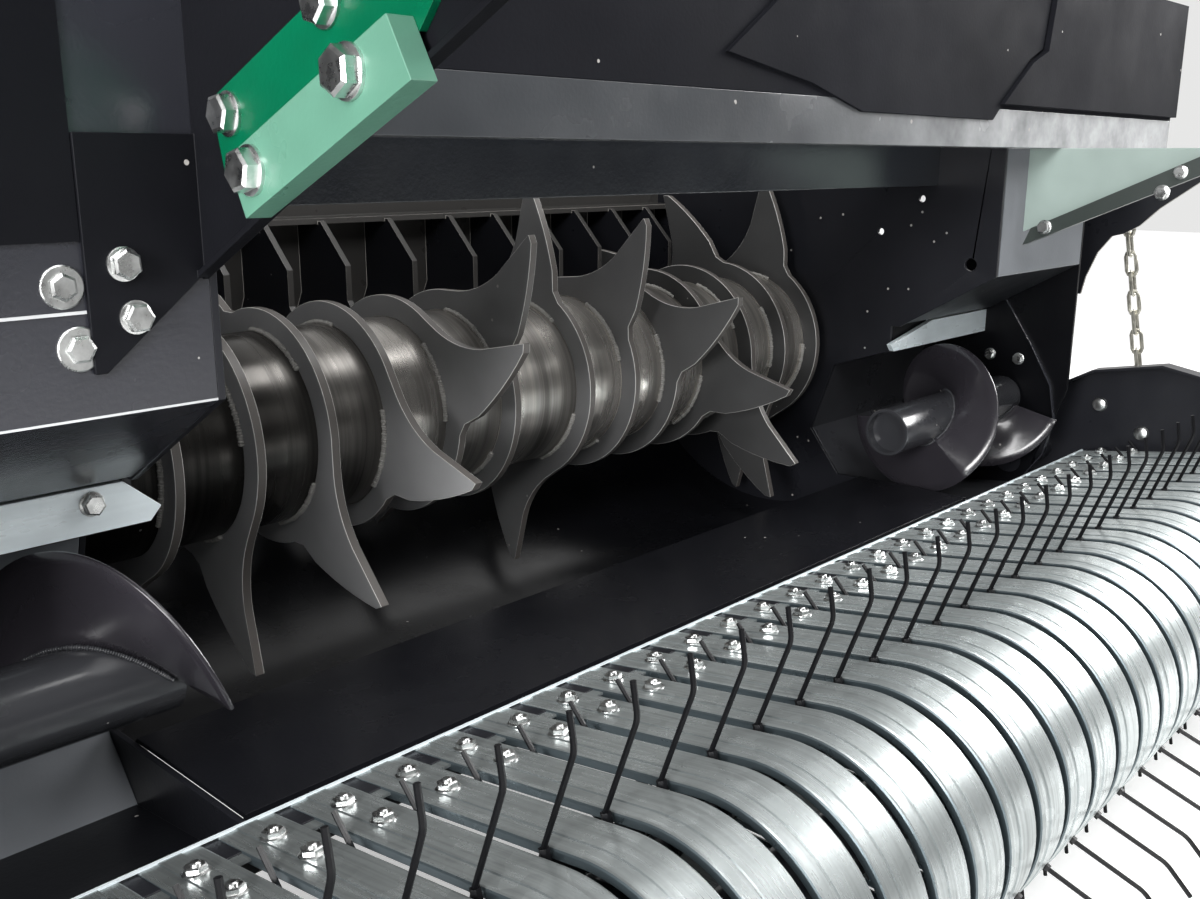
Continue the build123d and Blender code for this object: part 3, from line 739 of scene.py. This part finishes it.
def strip_mesh(name, line, x0, x1, thickness):
    """A bent strip: (y, z) points across the machine from x0 to x1, laid on their left side."""
    verts = []
    for k, (y, z) in enumerate(line):
        before, after = line[max(k - 1, 0)], line[min(k + 1, len(line) - 1)]
        way = Vector((0.0, before[1] - after[1], after[0] - before[0])).normalized() * thickness
        verts += [Vector((x, y, z)) for x in (x0, x1)]
        verts += [Vector((x, y, z)) + way for x in (x1, x0)]
    return loft(name, verts, 4)


def around(centre, x, r, degrees):
    """Point at radius r and an angle about an axis along X."""
    a = radians(degrees)
    return Vector((x, centre.y + r * cos(a), centre.z + r * sin(a)))


def rounded(points, reach, steps=5):
    """A line through the points with each inner corner rounded."""
    line = [points[0]]
    for before, corner, after in zip(points, points[1:], points[2:]):
        a = corner + (before - corner).normalized() * reach
        b = corner + (after - corner).normalized() * reach
        for i in range(steps + 1):
            t = i / steps
            line.append(a * (1 - t) ** 2 + corner * (2 * t * (1 - t)) + b * t ** 2)
    line.append(points[-1])
    return line


def wire(name, points, radius):
    """Round wire along a line, as a closed mesh."""
    curve = bpy.data.curves.new(name, "CURVE")
    curve.dimensions = "3D"
    spline = curve.splines.new("POLY")
    spline.points.add(len(points) - 1)
    for spot, point in zip(spline.points, points):
        spot.co = (*point, 1.0)
    curve.bevel_depth = radius
    curve.bevel_resolution = 1
    curve.use_fill_caps = True
    return plain_mesh(new_object(name, curve))


def weld_lines(name, lines, body, size, material="Weld"):
    """A weld bead along each line of points."""
    verts, edges = [], []
    for line in lines:
        first = len(verts)
        verts += line
        edges += [(first + i, first + i + 1) for i in range(len(line) - 1)]
    mesh = grow(new_object(name, mesh_of(name, verts, [], edges)), "Weld bead", material,
                **{"Bead size": size})
    return set_piece(name, mesh, body, smooth=80.0)


# Fasteners

def hex_profile(flats, low, high, chamfer):
    """Rings of a hexagon head: foot, shoulder and chamfered top."""
    corner = flats / 3 ** 0.5
    return [(corner, low), (corner, high - chamfer), (corner - chamfer * 1.6, high), (0.0, high)]


FASTENERS = {
    # stacks of rings (radius, height) with their number of sides, for a 10 mm thread
    "hex_bolt": [
        ([(0.0110, 0.0), (0.0110, 0.0016), (0.0100, 0.0020), (0.0, 0.0020)], 24),
        (hex_profile(0.017, 0.0019, 0.0085, 0.0011), 6),
    ],
    "band_nut": [
        ([(0.0108, 0.0), (0.0108, 0.0010), (0.0092, 0.0020), (0.0, 0.0020)], 20),
        (hex_profile(0.016, 0.0014, 0.0062, 0.0009), 6),
        ([(0.0042, 0.0060), (0.0042, 0.0078), (0.0034, 0.0086), (0.0, 0.0086)], 12),
    ],
    "washer_bolt": [
        ([(0.0130, 0.0), (0.0130, 0.0012), (0.0122, 0.0018), (0.0, 0.0018)], 28),
        (hex_profile(0.0150, 0.0012, 0.0048, 0.0012), 6),
    ],
    "round_bolt": [
        ([(0.0115, 0.0), (0.0112, 0.0012), (0.0095, 0.0036), (0.0060, 0.0050), (0.0, 0.0055)], 24),
    ],
}


def fastener_mesh(kind):
    meshes = []
    for rings, sides in FASTENERS[kind]:
        angles = [2 * pi * i / sides for i in range(sides)]
        verts = [(r * cos(a), r * sin(a), z) for r, z in rings for a in angles]
        meshes.append(loft(kind, verts, sides))
    mesh = join_meshes(kind, meshes)
    shade(mesh, 32.0)
    return mesh


def set_fasteners(name, kind, rows, body):
    """Fasteners of one kind on one body; rows hold (x, y, z), the way out and the size."""
    points = mesh_of(name, [row[0] for row in rows], [])
    points.attributes.new("way", "FLOAT_VECTOR", "POINT")
    points.attributes.new("size", "FLOAT", "POINT")
    points.attributes["way"].data.foreach_set("vector", [c for row in rows for c in row[1]])
    points.attributes["size"].data.foreach_set("value", [row[2] for row in rows])
    mesh = grow_copies(name, "Set of fasteners", "Plated steel", fastener_mesh(kind), points)
    return set_piece(name, mesh, body)


# Pieces

SOFT_EDGE = 0.0008


def dress(node, material):
    """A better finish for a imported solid: paint, joined faces and softened edges."""
    obj = frame["nodes"][node]
    for slot in obj.material_slots:
        slot.material = bpy.data.materials[material]
    if not obj.material_slots:
        obj.data.materials.append(bpy.data.materials[material])
    joined = obj.modifiers.new("Joined sheet", "NODES")
    joined.node_group = bpy.data.node_groups["Joined sheet"]
    edge = soften(obj, SOFT_EDGE, segments=2)
    edge.angle_limit = radians(32.0)
    edge.harden_normals = True


class INTAKE_OT_materials(bpy.types.Operator):
    """Builds every finish and every Geometry Nodes tree"""

    bl_idname = "intake.materials"
    bl_label = "Materials and trees"

    def execute(self, context):
        make_materials()
        for build in (row_tree, fastener_tree, bead_tree, flight_tree, soft_edge_tree):
            build()
        return {"FINISHED"}


SHEET_FINISH = {
    "wall_left": "Black sheet", "wall_right": "Black sheet", "floor_pan": "Floor sheet",
    "auger_trough_left": "Trough sheet", "auger_trough_right": "Grey sheet",
    "front_panel_left": "Panel sheet", "front_panel_right": "Trough sheet",
    "scraper_left": "Galvanised bar", "scraper_right": "Galvanised bar",
    "end_plate_left": "End sheet", "end_plate_right": "End sheet",
    "stripper_comb": "Comb plate", "beam_middle": "Cross beam sheet", "beam_front": "Beam sheet",
    "hood_panels": "Hood sheet", "cover_left": "Cover sheet",
    "bracket_plate_left": "Green gloss", "bracket_angle_left": "Pale green gloss",
    "gusset_right": "Pale mint gloss", "bracket_angle_right": "Grey green gloss",
    "chain_arm_right": "Black plate", "lift_chain": "Chain steel",
    "band_rails": "Black sheet", "shield_left": "Black sheet", "shield_right": "Black sheet",
    "reel_core": "Black sheet", "rotor_stars": "Star plate",
}


class INTAKE_OT_sheets(bpy.types.Operator):
    """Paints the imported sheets, plates and beams and softens their edges"""

    bl_idname = "intake.sheets"
    bl_label = "Sheets and plates"

    def execute(self, context):
        for node, material in SHEET_FINISH.items():
            dress(node, material)
        return {"FINISHED"}


CHAMFER = 0.002
END_GAP = 0.006         # between a tube's end and the sheet beside it
ROTOR_TUBE_R = 0.105
ROTOR_SHAFT_R = 0.030
ROTOR_DRIVE_R = 0.025
# Weld stitches at each star: on either side of its plate, this many of this arc in degrees
STITCH_X = 0.0065
STITCH_LIFT = 0.0012
STITCHES = 3
STITCH_STEP = 5.0
STITCH_POINTS = 11


class INTAKE_OT_rotor(bpy.types.Operator):
    """Feed rotor's tube and the weld stitches along its stars"""

    bl_idname = "intake.rotor"
    bl_label = "Feed rotor"

    def execute(self, context):
        low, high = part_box("rotor_tube")
        end = WALL_X - END_GAP
        profile = [
            (low.x, 0.0), (low.x, ROTOR_DRIVE_R - CHAMFER), (low.x + CHAMFER, ROTOR_DRIVE_R),
            (-high.x, ROTOR_DRIVE_R), (-high.x, ROTOR_SHAFT_R), (-end, ROTOR_SHAFT_R),
            (-end, ROTOR_TUBE_R - CHAMFER), (-end + CHAMFER, ROTOR_TUBE_R),
            (end - CHAMFER, ROTOR_TUBE_R), (end, ROTOR_TUBE_R - CHAMFER),
            (end, ROTOR_SHAFT_R), (high.x, ROTOR_SHAFT_R), (high.x, 0.0),
        ]
        mesh = lathe("rotor_tube_skin", profile, ROTOR, steps=96)
        set_piece("rotor_tube_skin", mesh, "feed_rotor", "Rotor steel", ["rotor_tube"], smooth=30.0)
        stitches = []
        for k, x in enumerate(STAR_XS):
            for side in (-1, 1):
                for n in range(STITCHES):
                    start = 360.0 / STITCHES * n + 37.0 * k + 25.0 * side
                    stitches.append([
                        around(ROTOR, x + side * STITCH_X, ROTOR_TUBE_R + STITCH_LIFT,
                               start + STITCH_STEP * i) for i in range(STITCH_POINTS)])
        weld_lines("rotor_welds", stitches, "feed_rotor", settings().bead_size)
        return {"FINISHED"}


FLIGHTS = {
    # runs of a flight: from x, to x, from angle, to angle
    "auger_right": [(0.616, 0.616, 357.0, 222.0), (0.616, 0.876, 222.0, -168.0)],
    "auger_left": [(-0.616, -0.876, 180.0, -210.0)],
}
PIPE_STARTS = {"auger_right": 0.512, "auger_left": 0.610}
FLIGHT_T = 0.004
FLIGHT_R = 0.1097
PIPE_R = 0.035
PIPE_BORE_R = 0.0300
PIPE_BORE_DEPTH = 0.014
AUGER_SHAFT_R = 0.020
AUGER_STUB_R = 0.016
AUGER_STUB_LENGTH = 0.040
FLIGHT_WELD = 0.0045
FLIGHT_WELD_POINTS = 80


class INTAKE_OT_augers(bpy.types.Operator):
    """Side augers: pipe with its open end, smooth flight and the weld along its root"""

    bl_idname = "intake.augers"
    bl_label = "Side augers"

    def execute(self, context):
        for node in FLIGHTS:
            self.pipe(node)
            self.flight(node)
        return {"FINISHED"}

    def pipe(self, node):
        low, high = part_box(node)
        side = 1 if high.x > 0 else -1
        inner, outer = sorted((abs(low.x), abs(high.x)))
        inner = max(inner, PIPE_STARTS[node])
        pipe_end = AUGER_END_X - END_GAP
        bore_end = inner + PIPE_BORE_DEPTH
        stub_start = outer - AUGER_STUB_LENGTH
        profile = [
            (bore_end, 0.0), (bore_end, PIPE_BORE_R - 0.0002), (inner, PIPE_BORE_R + 0.0002),
            (inner, PIPE_R - 0.001), (inner + 0.001, PIPE_R), (pipe_end, PIPE_R),
            (pipe_end, AUGER_SHAFT_R), (stub_start, AUGER_SHAFT_R), (stub_start, AUGER_STUB_R),
            (outer - 0.001, AUGER_STUB_R), (outer, AUGER_STUB_R - 0.001), (outer, 0.0),
        ]
        mesh = lathe(node + "_pipe", [(side * x, r) for x, r in profile], AUGER, steps=64)
        set_piece(node + "_pipe", mesh, node, "Auger pipe", [node], smooth=30.0)

    def flight(self, node):
        runs, roots = [], []
        for x0, x1, angle0, angle1 in FLIGHTS[node]:
            source = new_object("flight_source", mesh_of("flight_source", [], []))
            runs.append(grow(source, "Screw flight", "Auger flight", **{
                "Start": x0, "Length": x1 - x0, "Inner radius": PIPE_R + 0.0002,
                "Outer radius": FLIGHT_R, "Start angle": radians(angle0),
                "Turn": radians(angle1 - angle0),
                "Axis place": Vector((0.0, AUGER.y, AUGER.z))}))
            for shift in (-0.003, 0.003):
                shares = [i / FLIGHT_WELD_POINTS for i in range(1, FLIGHT_WELD_POINTS)]
                roots.append([
                    around(AUGER, x0 + (x1 - x0) * t + shift, PIPE_R + 0.0015,
                           angle0 + (angle1 - angle0) * t) for t in shares])
        inward = -1 if FLIGHTS[node][0][0] > 0 else 1
        mesh = join_meshes(node + "_flight", runs)
        mesh.transform(Matrix.Translation((inward * FLIGHT_T / 2, 0.0, 0.0)))
        merge_doubles(mesh)
        piece = set_piece(node + "_flight", mesh, node, "Auger flight", smooth=40.0)
        sheet = piece.modifiers.new("Thickness", "SOLIDIFY")
        sheet.thickness = FLIGHT_T - 0.0004
        sheet.offset = 0.0
        soften(piece, 0.0006)
        weld_lines(node + "_welds", roots, node, FLIGHT_WELD, "Auger pipe")


GUARD_ARC_STEPS = 40
BAND_FLANGE = 0.009
BAND_CORNER = 0.0022
BAND_RISE = 0.0010
BAND_NUT_RUNS = (0.043, 0.094)
BAND_NUT_SIZE = 0.95
BAND_STRIPS = [
    # name, from and to along the bands' rear end, how far out, thickness, finish
    ("band_cross_strip", 0.0004, 0.052, -0.0034, 0.0022, "Galvanised bands"),
    ("band_rear_edge", 0.0003, 0.0035, 0.0008, 0.0018, "Galvanised bar"),
]


def guard_line():
    """Outer line of a guard band with its outward normals: rear end, nose, tail."""
    slope = settings().guard_slope
    start = pi / 2 - slope
    nose = Vector((0.0, REEL.y, REEL.z))
    along = Vector((0.0, cos(slope), -sin(slope)))
    normal = Vector((0.0, sin(slope), cos(slope)))
    top = Vector((0.0, REEL.y + GUARD_R * cos(start), REEL.z + GUARD_R * sin(start)))
    run = (GUARD_REAR_Y - top.y) / along.y
    line = [(top + along * run, normal), (top + along * (run * 0.5), normal)]
    for i in range(GUARD_ARC_STEPS + 1):
        a = start + (1.5 * pi - start) * i / GUARD_ARC_STEPS
        out = Vector((0.0, cos(a), sin(a)))
        line.append((nose + out * GUARD_R, out))
    line.append((Vector((0.0, GUARD_TAIL_Y, REEL.z - GUARD_R)), Vector((0.0, 0.0, -1.0))))
    return line


def band_profile(half, thickness):
    """Section of a band: (x, depth) round a channel with a raised middle and round corners."""
    step, corner = BAND_RISE, BAND_CORNER
    right = [
        (0.0086, 0.0), (0.0096, step), (half - corner, step),
        (half - corner * 0.3, step + corner * 0.3), (half, step + corner),
        (half, BAND_FLANGE), (half - thickness, BAND_FLANGE), (half - thickness, step + thickness),
    ]
    return [(-x, depth) for x, depth in reversed(right)] + right


class INTAKE_OT_guards(bpy.types.Operator):
    """Guard bands of the pick-up, two nuts each, and the strips across their rear end"""

    bl_idname = "intake.guards"
    bl_label = "Guard bands"

    def execute(self, context):
        s = settings()
        half = (s.tine_pitch - s.slot_width) / 2
        count = band_count()
        profile = band_profile(half, s.band_thickness)
        line = guard_line()
        verts = [point + Vector((x, 0.0, 0.0)) - out * depth
                 for point, out in line for x, depth in profile]
        mesh = loft("band", verts, len(profile))
        shade(mesh, 14.0)
        bands = row_of("bands", "Galvanised bands", mesh, count)
        set_piece("guard_band_sheets", bands, "pickup_frame", replaces=["guard_bands"])
        rear, normal = line[0]
        forward = (line[1][0] - rear).normalized()
        rows = []
        for i in range(count):
            x = (i - (count - 1) / 2) * s.tine_pitch
            for run in BAND_NUT_RUNS:
                rows.append((rear + forward * run + Vector((x, 0.0, 0.0)), normal, BAND_NUT_SIZE))
        set_fasteners("band_nuts", "band_nut", rows, "pickup_frame")
        for name, start, end, proud, thickness, finish in BAND_STRIPS:
            ends = [rear + forward * run + normal * proud for run in (start, end)]
            strip = strip_mesh(name, [(p.y, p.z) for p in ends], -HALF_BANDS, HALF_BANDS, thickness)
            set_piece(name, strip, "pickup_frame", finish)
        return {"FINISHED"}


COIL_TURNS = 2.25
COIL_STEPS = 16
COIL_WIDTH = 0.0085
COIL_GAP = 0.001
KNEE = 0.006
# Painted shade: a dark sleeve round each tine's root stands in for the shadow in the band's slot.
SHADOW_SLEEVE_R = 0.0042
SHADOW_SLEEVE_START_R = 0.117


class INTAKE_OT_tines(bpy.types.Operator):
    """Rows of sprung tines on the reel's bars"""

    bl_idname = "intake.tines"
    bl_label = "Tine rows"

    def execute(self, context):
        rod_profile = [(-REEL_END_X, 0.0), (-REEL_END_X, BAR_R), (REEL_END_X, BAR_R),
                       (REEL_END_X, 0.0)]
        for number, (tip, bar, shape) in enumerate(TINE_ROWS, 1):
            tine = self.tine(tip, bar, shape)
            tines = row_of("tines", "Spring wire", tine, band_count() + 1)
            set_piece(f"tines_{number}", tines, "pickup_reel", replaces=[f"tine_bar_{number}"])
            rod = lathe("bar", rod_profile, around(REEL, 0.0, BAR_CIRCLE_R, bar), steps=24)
            set_piece(f"reel_bar_{number}", rod, "pickup_reel", "Black sheet", smooth=30.0)
        return {"FINISHED"}

    def tine(self, tip, bar, shape):
        """One tine: a coil round the bar, the leg through the slot and the bent tip, with a dark
        sleeve at its root as painted shade of the slot.
        """
        wire_r = settings().tine_wire / 2
        centre = around(REEL, 0.0, BAR_CIRCLE_R, bar)
        leg = [around(REEL, 0.0, r, tip - back) for r, back in TINE_SHAPES[shape]]
        coil_r = BAR_R + wire_r + COIL_GAP
        to_leg = leg[0] - centre
        end = atan2(to_leg.z, to_leg.y)
        total = ceil(COIL_TURNS * COIL_STEPS)
        coil = []
        for left in range(total, -1, -1):
            a = end - 2 * pi * left / COIL_STEPS
            coil.append(Vector((-COIL_WIDTH * left / total, centre.y + coil_r * cos(a),
                                centre.z + coil_r * sin(a))))
        path = coil + rounded([coil[-1].lerp(leg[0], 0.5)] + leg, KNEE)
        # Painted shade: the dark sleeve stands in for the shadow in the slot.
        root = around(REEL, 0.0, SHADOW_SLEEVE_START_R, tip - TINE_SHAPES[shape][1][1])
        sleeve = wire("sleeve", [root, leg[1].lerp(leg[2], 0.02)], SHADOW_SLEEVE_R)
        mesh = join_meshes("tine", [wire("tine", path, wire_r), sleeve])
        shade(mesh, 50.0)
        return mesh


LEFT = Vector((-1.0, 0.0, 0.0))
FORWARD = Vector((0.0, -1.0, 0.0))
COVER_Y = -0.793
BOLTS = [
    # name, kind, body, rows of place, way out and size
    ("frame_bolts", "hex_bolt", "intake_frame", [
        ((-0.666, COVER_Y, 0.220), FORWARD, 1.0),
        ((-0.661, COVER_Y, 0.186), FORWARD, 1.0),
        ((-0.616, -0.848, 0.311), LEFT, 1.25),
        ((-0.616, -0.955, 0.366), LEFT, 1.25),
        ((-0.633, -0.897, 0.278), LEFT, 1.35),
        ((-0.633, -0.997, 0.328), LEFT, 1.35),
        ((AUGER_END_X, -0.653, -0.037), LEFT, 0.9),
        ((AUGER_END_X, -0.703, -0.040), LEFT, 0.9),
        ((AUGER_END_X, -0.684, -0.196), LEFT, 0.9),
        ((-0.638, -0.640, 0.025), FORWARD, 0.9),
        ((0.624, -0.842, 0.194), LEFT, 0.9),
        ((0.624, -0.992, 0.244), LEFT, 0.9),
        ((0.624, -1.012, 0.270), LEFT, 0.8),
    ]),
    ("panel_bolts", "washer_bolt", "intake_frame", [
        ((-0.704, PANEL_Y, 0.208), FORWARD, 1.05),
        ((-0.697, PANEL_Y, 0.169), FORWARD, 1.1),
    ]),
    ("shield_bolts", "round_bolt", "pickup_frame", [
        ((SHIELD_IN_X, -0.798, -0.124), LEFT, 1.1),
        ((SHIELD_IN_X, -0.871, -0.164), LEFT, 1.1),
    ]),
]


class INTAKE_OT_bolts(bpy.types.Operator):
    """Bolts of the panels, brackets, bearings and shields"""

    bl_idname = "intake.bolts"
    bl_label = "Bolts"

    def execute(self, context):
        for name, kind, body, rows in BOLTS:
            set_fasteners(name, kind, rows, body)
        return {"FINISHED"}


STRIP_T = 0.002
CLOSING_Y = -0.6265
RIM_WIDTH = 0.008
RIM_LINE = [(-0.650, 0.092), (-0.680, 0.055), (-0.725, -0.011), (-0.764, -0.077),
            (-0.775, -0.134), (-0.762, -0.195), (-0.732, -0.238)]
PANEL_TRIMS = [
    # name, from x, to x, from z, to z, how proud, finish
    ("cover_wing_left", -0.900, -0.6905, 0.235, 0.520, 0.0016, "Cover sheet"),
    # Painted highlights: thin light strips along the panel's joint and its lower fold.
    ("panel_seam_left", -0.900, -0.6905, 0.1905, 0.1925, 0.0010, "Bright edge"),
    ("fold_edge_left", -0.900, -0.6065, 0.1235, 0.1250, 0.0006, "Bright edge"),
]


class INTAKE_OT_trims(bpy.types.Operator):
    """Closing strips, folded rims of the end plates, the left panel's upper sheet and painted
    highlights along its joint and its lower fold
    """

    bl_idname = "intake.trims"
    bl_label = "Strips and rims"

    def execute(self, context):
        low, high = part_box("auger_trough_right")
        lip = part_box("front_panel_right")[0].z
        closing_line = [(CLOSING_Y, high.z - 0.006), (CLOSING_Y, lip)]
        for side, word in ((-1, "left"), (1, "right")):
            name = "closing_strip_" + word
            x0, x1 = sorted((side * (low.x + 0.001), side * (AUGER_END_X - 0.001)))
            closing = strip_mesh(name, closing_line, x0, x1, STRIP_T)
            set_piece(name, closing, "intake_frame", "End sheet")
            name = "end_rim_" + word
            x0, x1 = sorted((side * (AUGER_END_X - RIM_WIDTH), side * AUGER_END_X))
            rim = strip_mesh(name, RIM_LINE, x0, x1, STRIP_T)
            soften(set_piece(name, rim, "intake_frame", "Panel sheet", smooth=40.0), 0.0004)
        y = PANEL_Y - 0.0001
        for name, x0, x1, z0, z1, proud, finish in PANEL_TRIMS:
            sheet = strip_mesh(name, [(y, z0), (y, z1)], x0, x1, proud)
            set_piece(name, sheet, "intake_frame", finish)
        return {"FINISHED"}


# Stage: camera, lamps, floor and world

CAMERA_PLACE = Vector((-1.003, -1.520, 0.285))
CAMERA_YAW = radians(-46.9)
CAMERA_PITCH = radians(-13.96)
CAMERA_ROLL = radians(0.13)
CAMERA_LENS = 35.1
FLOOR_DROP = 0.03
FLOOR_REACH = 14.0
PALE = (0.80, 0.80, 0.795)
LAMPS = [
    # name, place, aimed at, width, height, watts
    ("Key", (-1.6, -3.2, 2.4), (0.0, -0.6, 0.0), 1.8, 1.2, 65.0),
    ("Right", (3.7, -2.0, 1.5), (0.5, -0.8, -0.2), 1.4, 1.6, 150.0),
    ("Top", (0.6, -1.6, 3.0), (0.2, -0.9, -0.2), 2.4, 1.2, 60.0),
    ("Left", (-3.0, -1.6, 0.8), (0.0, -0.6, 0.0), 0.8, 1.6, 120.0),
]
SKY = [
    # bright parts of the sky in glossy rays: rows of axis, from, to, and the light at both
    [("Z", 0.16, 0.34, 0.05, 1.3), ("Z", 0.55, 0.80, 1.0, 0.22), ("X", 0.35, 0.85, 0.10, 1.0)],
    [("Y", 0.0, 0.2, 0.0, 1.0), ("X", 0.2, 0.6, 0.0, 1.0)],
    [("Z", 0.03, 0.06, 1.0, 0.0), ("X", 0.84, 0.93, 0.0, 1.0)],
]
SKY_DIFFUSE = 0.34
SKY_LEAST = 0.05


class INTAKE_OT_stage(bpy.types.Operator):
    """Pale floor, soft lamps, pale world and the camera"""

    bl_idname = "intake.stage"
    bl_label = "Stage"

    def execute(self, context):
        scene = context.scene
        scene.view_settings.view_transform = "Standard"
        self.floor()
        self.world(scene)
        for row in LAMPS:
            self.lamp(*row)
        self.camera(scene)
        return {"FINISHED"}

    def floor(self):
        z = CAD_BOX[0].z - FLOOR_DROP
        r = FLOOR_REACH
        corners = [(-r, -r, z), (r, -r, z), (r, r, z), (-r, r, z)]
        floor = new_object("floor", mesh_of("floor", corners, [(0, 1, 2, 3)]))
        tree, shader, place = start_material("Pale floor")
        where = place["Object"]
        rays = tree.add("ShaderNodeLightPath").outputs
        glow = tree.ranged(tree.vector("LENGTH", where), 1.2, 6.0, 0.46, 0.80)
        tree.feed(shader, {
            "Base Color": tree.mix(tree.noise(where, 1.5, 2.0), scaled(PALE, 0.97), PALE),
            "Roughness": 0.7, "Emission Color": (1.0, 1.0, 0.995, 1.0),
            "Emission Strength": tree.math("MULTIPLY", glow, rays["Is Camera Ray"])})
        floor.data.materials.append(bpy.data.materials["Pale floor"])

    def world(self, scene):
        world = bpy.data.worlds.new("Studio")
        world.use_nodes = True
        world.node_tree.nodes.clear()
        tree = Tree(world.node_tree)
        rays = tree.add("ShaderNodeLightPath").outputs
        way = tree.add("ShaderNodeTexCoord").outputs["Generated"]
        parts = []
        for rows in SKY:
            factors = [tree.ranged(tree.axis(way, axis), *span) for axis, *span in rows]
            part = factors[0]
            for factor in factors[1:]:
                part = tree.math("MULTIPLY", part, factor)
            parts.append(tree.math("MULTIPLY", part, rays["Is Glossy Ray"]))
        parts += [tree.math("MULTIPLY", rays["Is Diffuse Ray"], SKY_DIFFUSE),
                  rays["Is Camera Ray"], rays["Is Transmission Ray"]]
        strength = SKY_LEAST
        for part in parts:
            strength = tree.math("MAXIMUM", strength, part)
        back = tree.add("ShaderNodeBackground", {"Color": (*PALE, 1.0), "Strength": strength})
        tree.add("ShaderNodeOutputWorld", {"Surface": back.outputs["Background"]})
        scene.world = world

    def lamp(self, name, place, aim, width, height, watts):
        light = bpy.data.lights.new(name, "AREA")
        light.shape = "RECTANGLE"
        light.size = width
        light.size_y = height
        light.energy = watts
        holder = new_object(name, light)
        holder.location = place
        way = Vector(aim) - Vector(place)
        holder.rotation_euler = way.to_track_quat("-Z", "Y").to_euler()

    def camera(self, scene):
        data = bpy.data.cameras.new("Camera")
        data.lens = CAMERA_LENS
        data.sensor_width = 36.0
        data.sensor_fit = "HORIZONTAL"
        data.clip_start = 0.01
        camera = new_object("Camera", data)
        camera.location = CAMERA_PLACE
        look = Euler((pi / 2 + CAMERA_PITCH, 0.0, CAMERA_YAW)).to_quaternion()
        camera.rotation_mode = "QUATERNION"
        camera.rotation_quaternion = look @ Quaternion((0.0, 0.0, 1.0), CAMERA_ROLL)
        scene.camera = camera


OPERATORS = (
    INTAKE_OT_materials,
    INTAKE_OT_sheets,
    INTAKE_OT_rotor,
    INTAKE_OT_augers,
    INTAKE_OT_guards,
    INTAKE_OT_tines,
    INTAKE_OT_bolts,
    INTAKE_OT_trims,
    INTAKE_OT_stage,
)


class INTAKE_PT_panel(bpy.types.Panel):
    """Lists the steps that build the intake unit"""

    bl_label = "Round baler intake"
    bl_idname = "INTAKE_PT_panel"
    bl_space_type = "VIEW_3D"
    bl_region_type = "UI"
    bl_category = "Intake"

    def draw(self, context):
        layout = self.layout
        for name in IntakeSettings.__annotations__:
            layout.prop(context.scene.intake, name)
        for operator in OPERATORS:
            layout.operator(operator.bl_idname)


CLASSES = (IntakeSettings, *OPERATORS, INTAKE_PT_panel)


def register():
    for cls in CLASSES:
        bpy.utils.register_class(cls)
    bpy.types.Scene.intake = PointerProperty(type=IntakeSettings)


def unregister():
    del bpy.types.Scene.intake
    for cls in reversed(CLASSES):
        bpy.utils.unregister_class(cls)


def run_operator(operator):
    group, name = operator.bl_idname.split(".")
    getattr(getattr(bpy.ops, group), name)()


def main():
    register()
    for operator in OPERATORS:
        run_operator(operator)


if __name__ == "__main__":
    main()
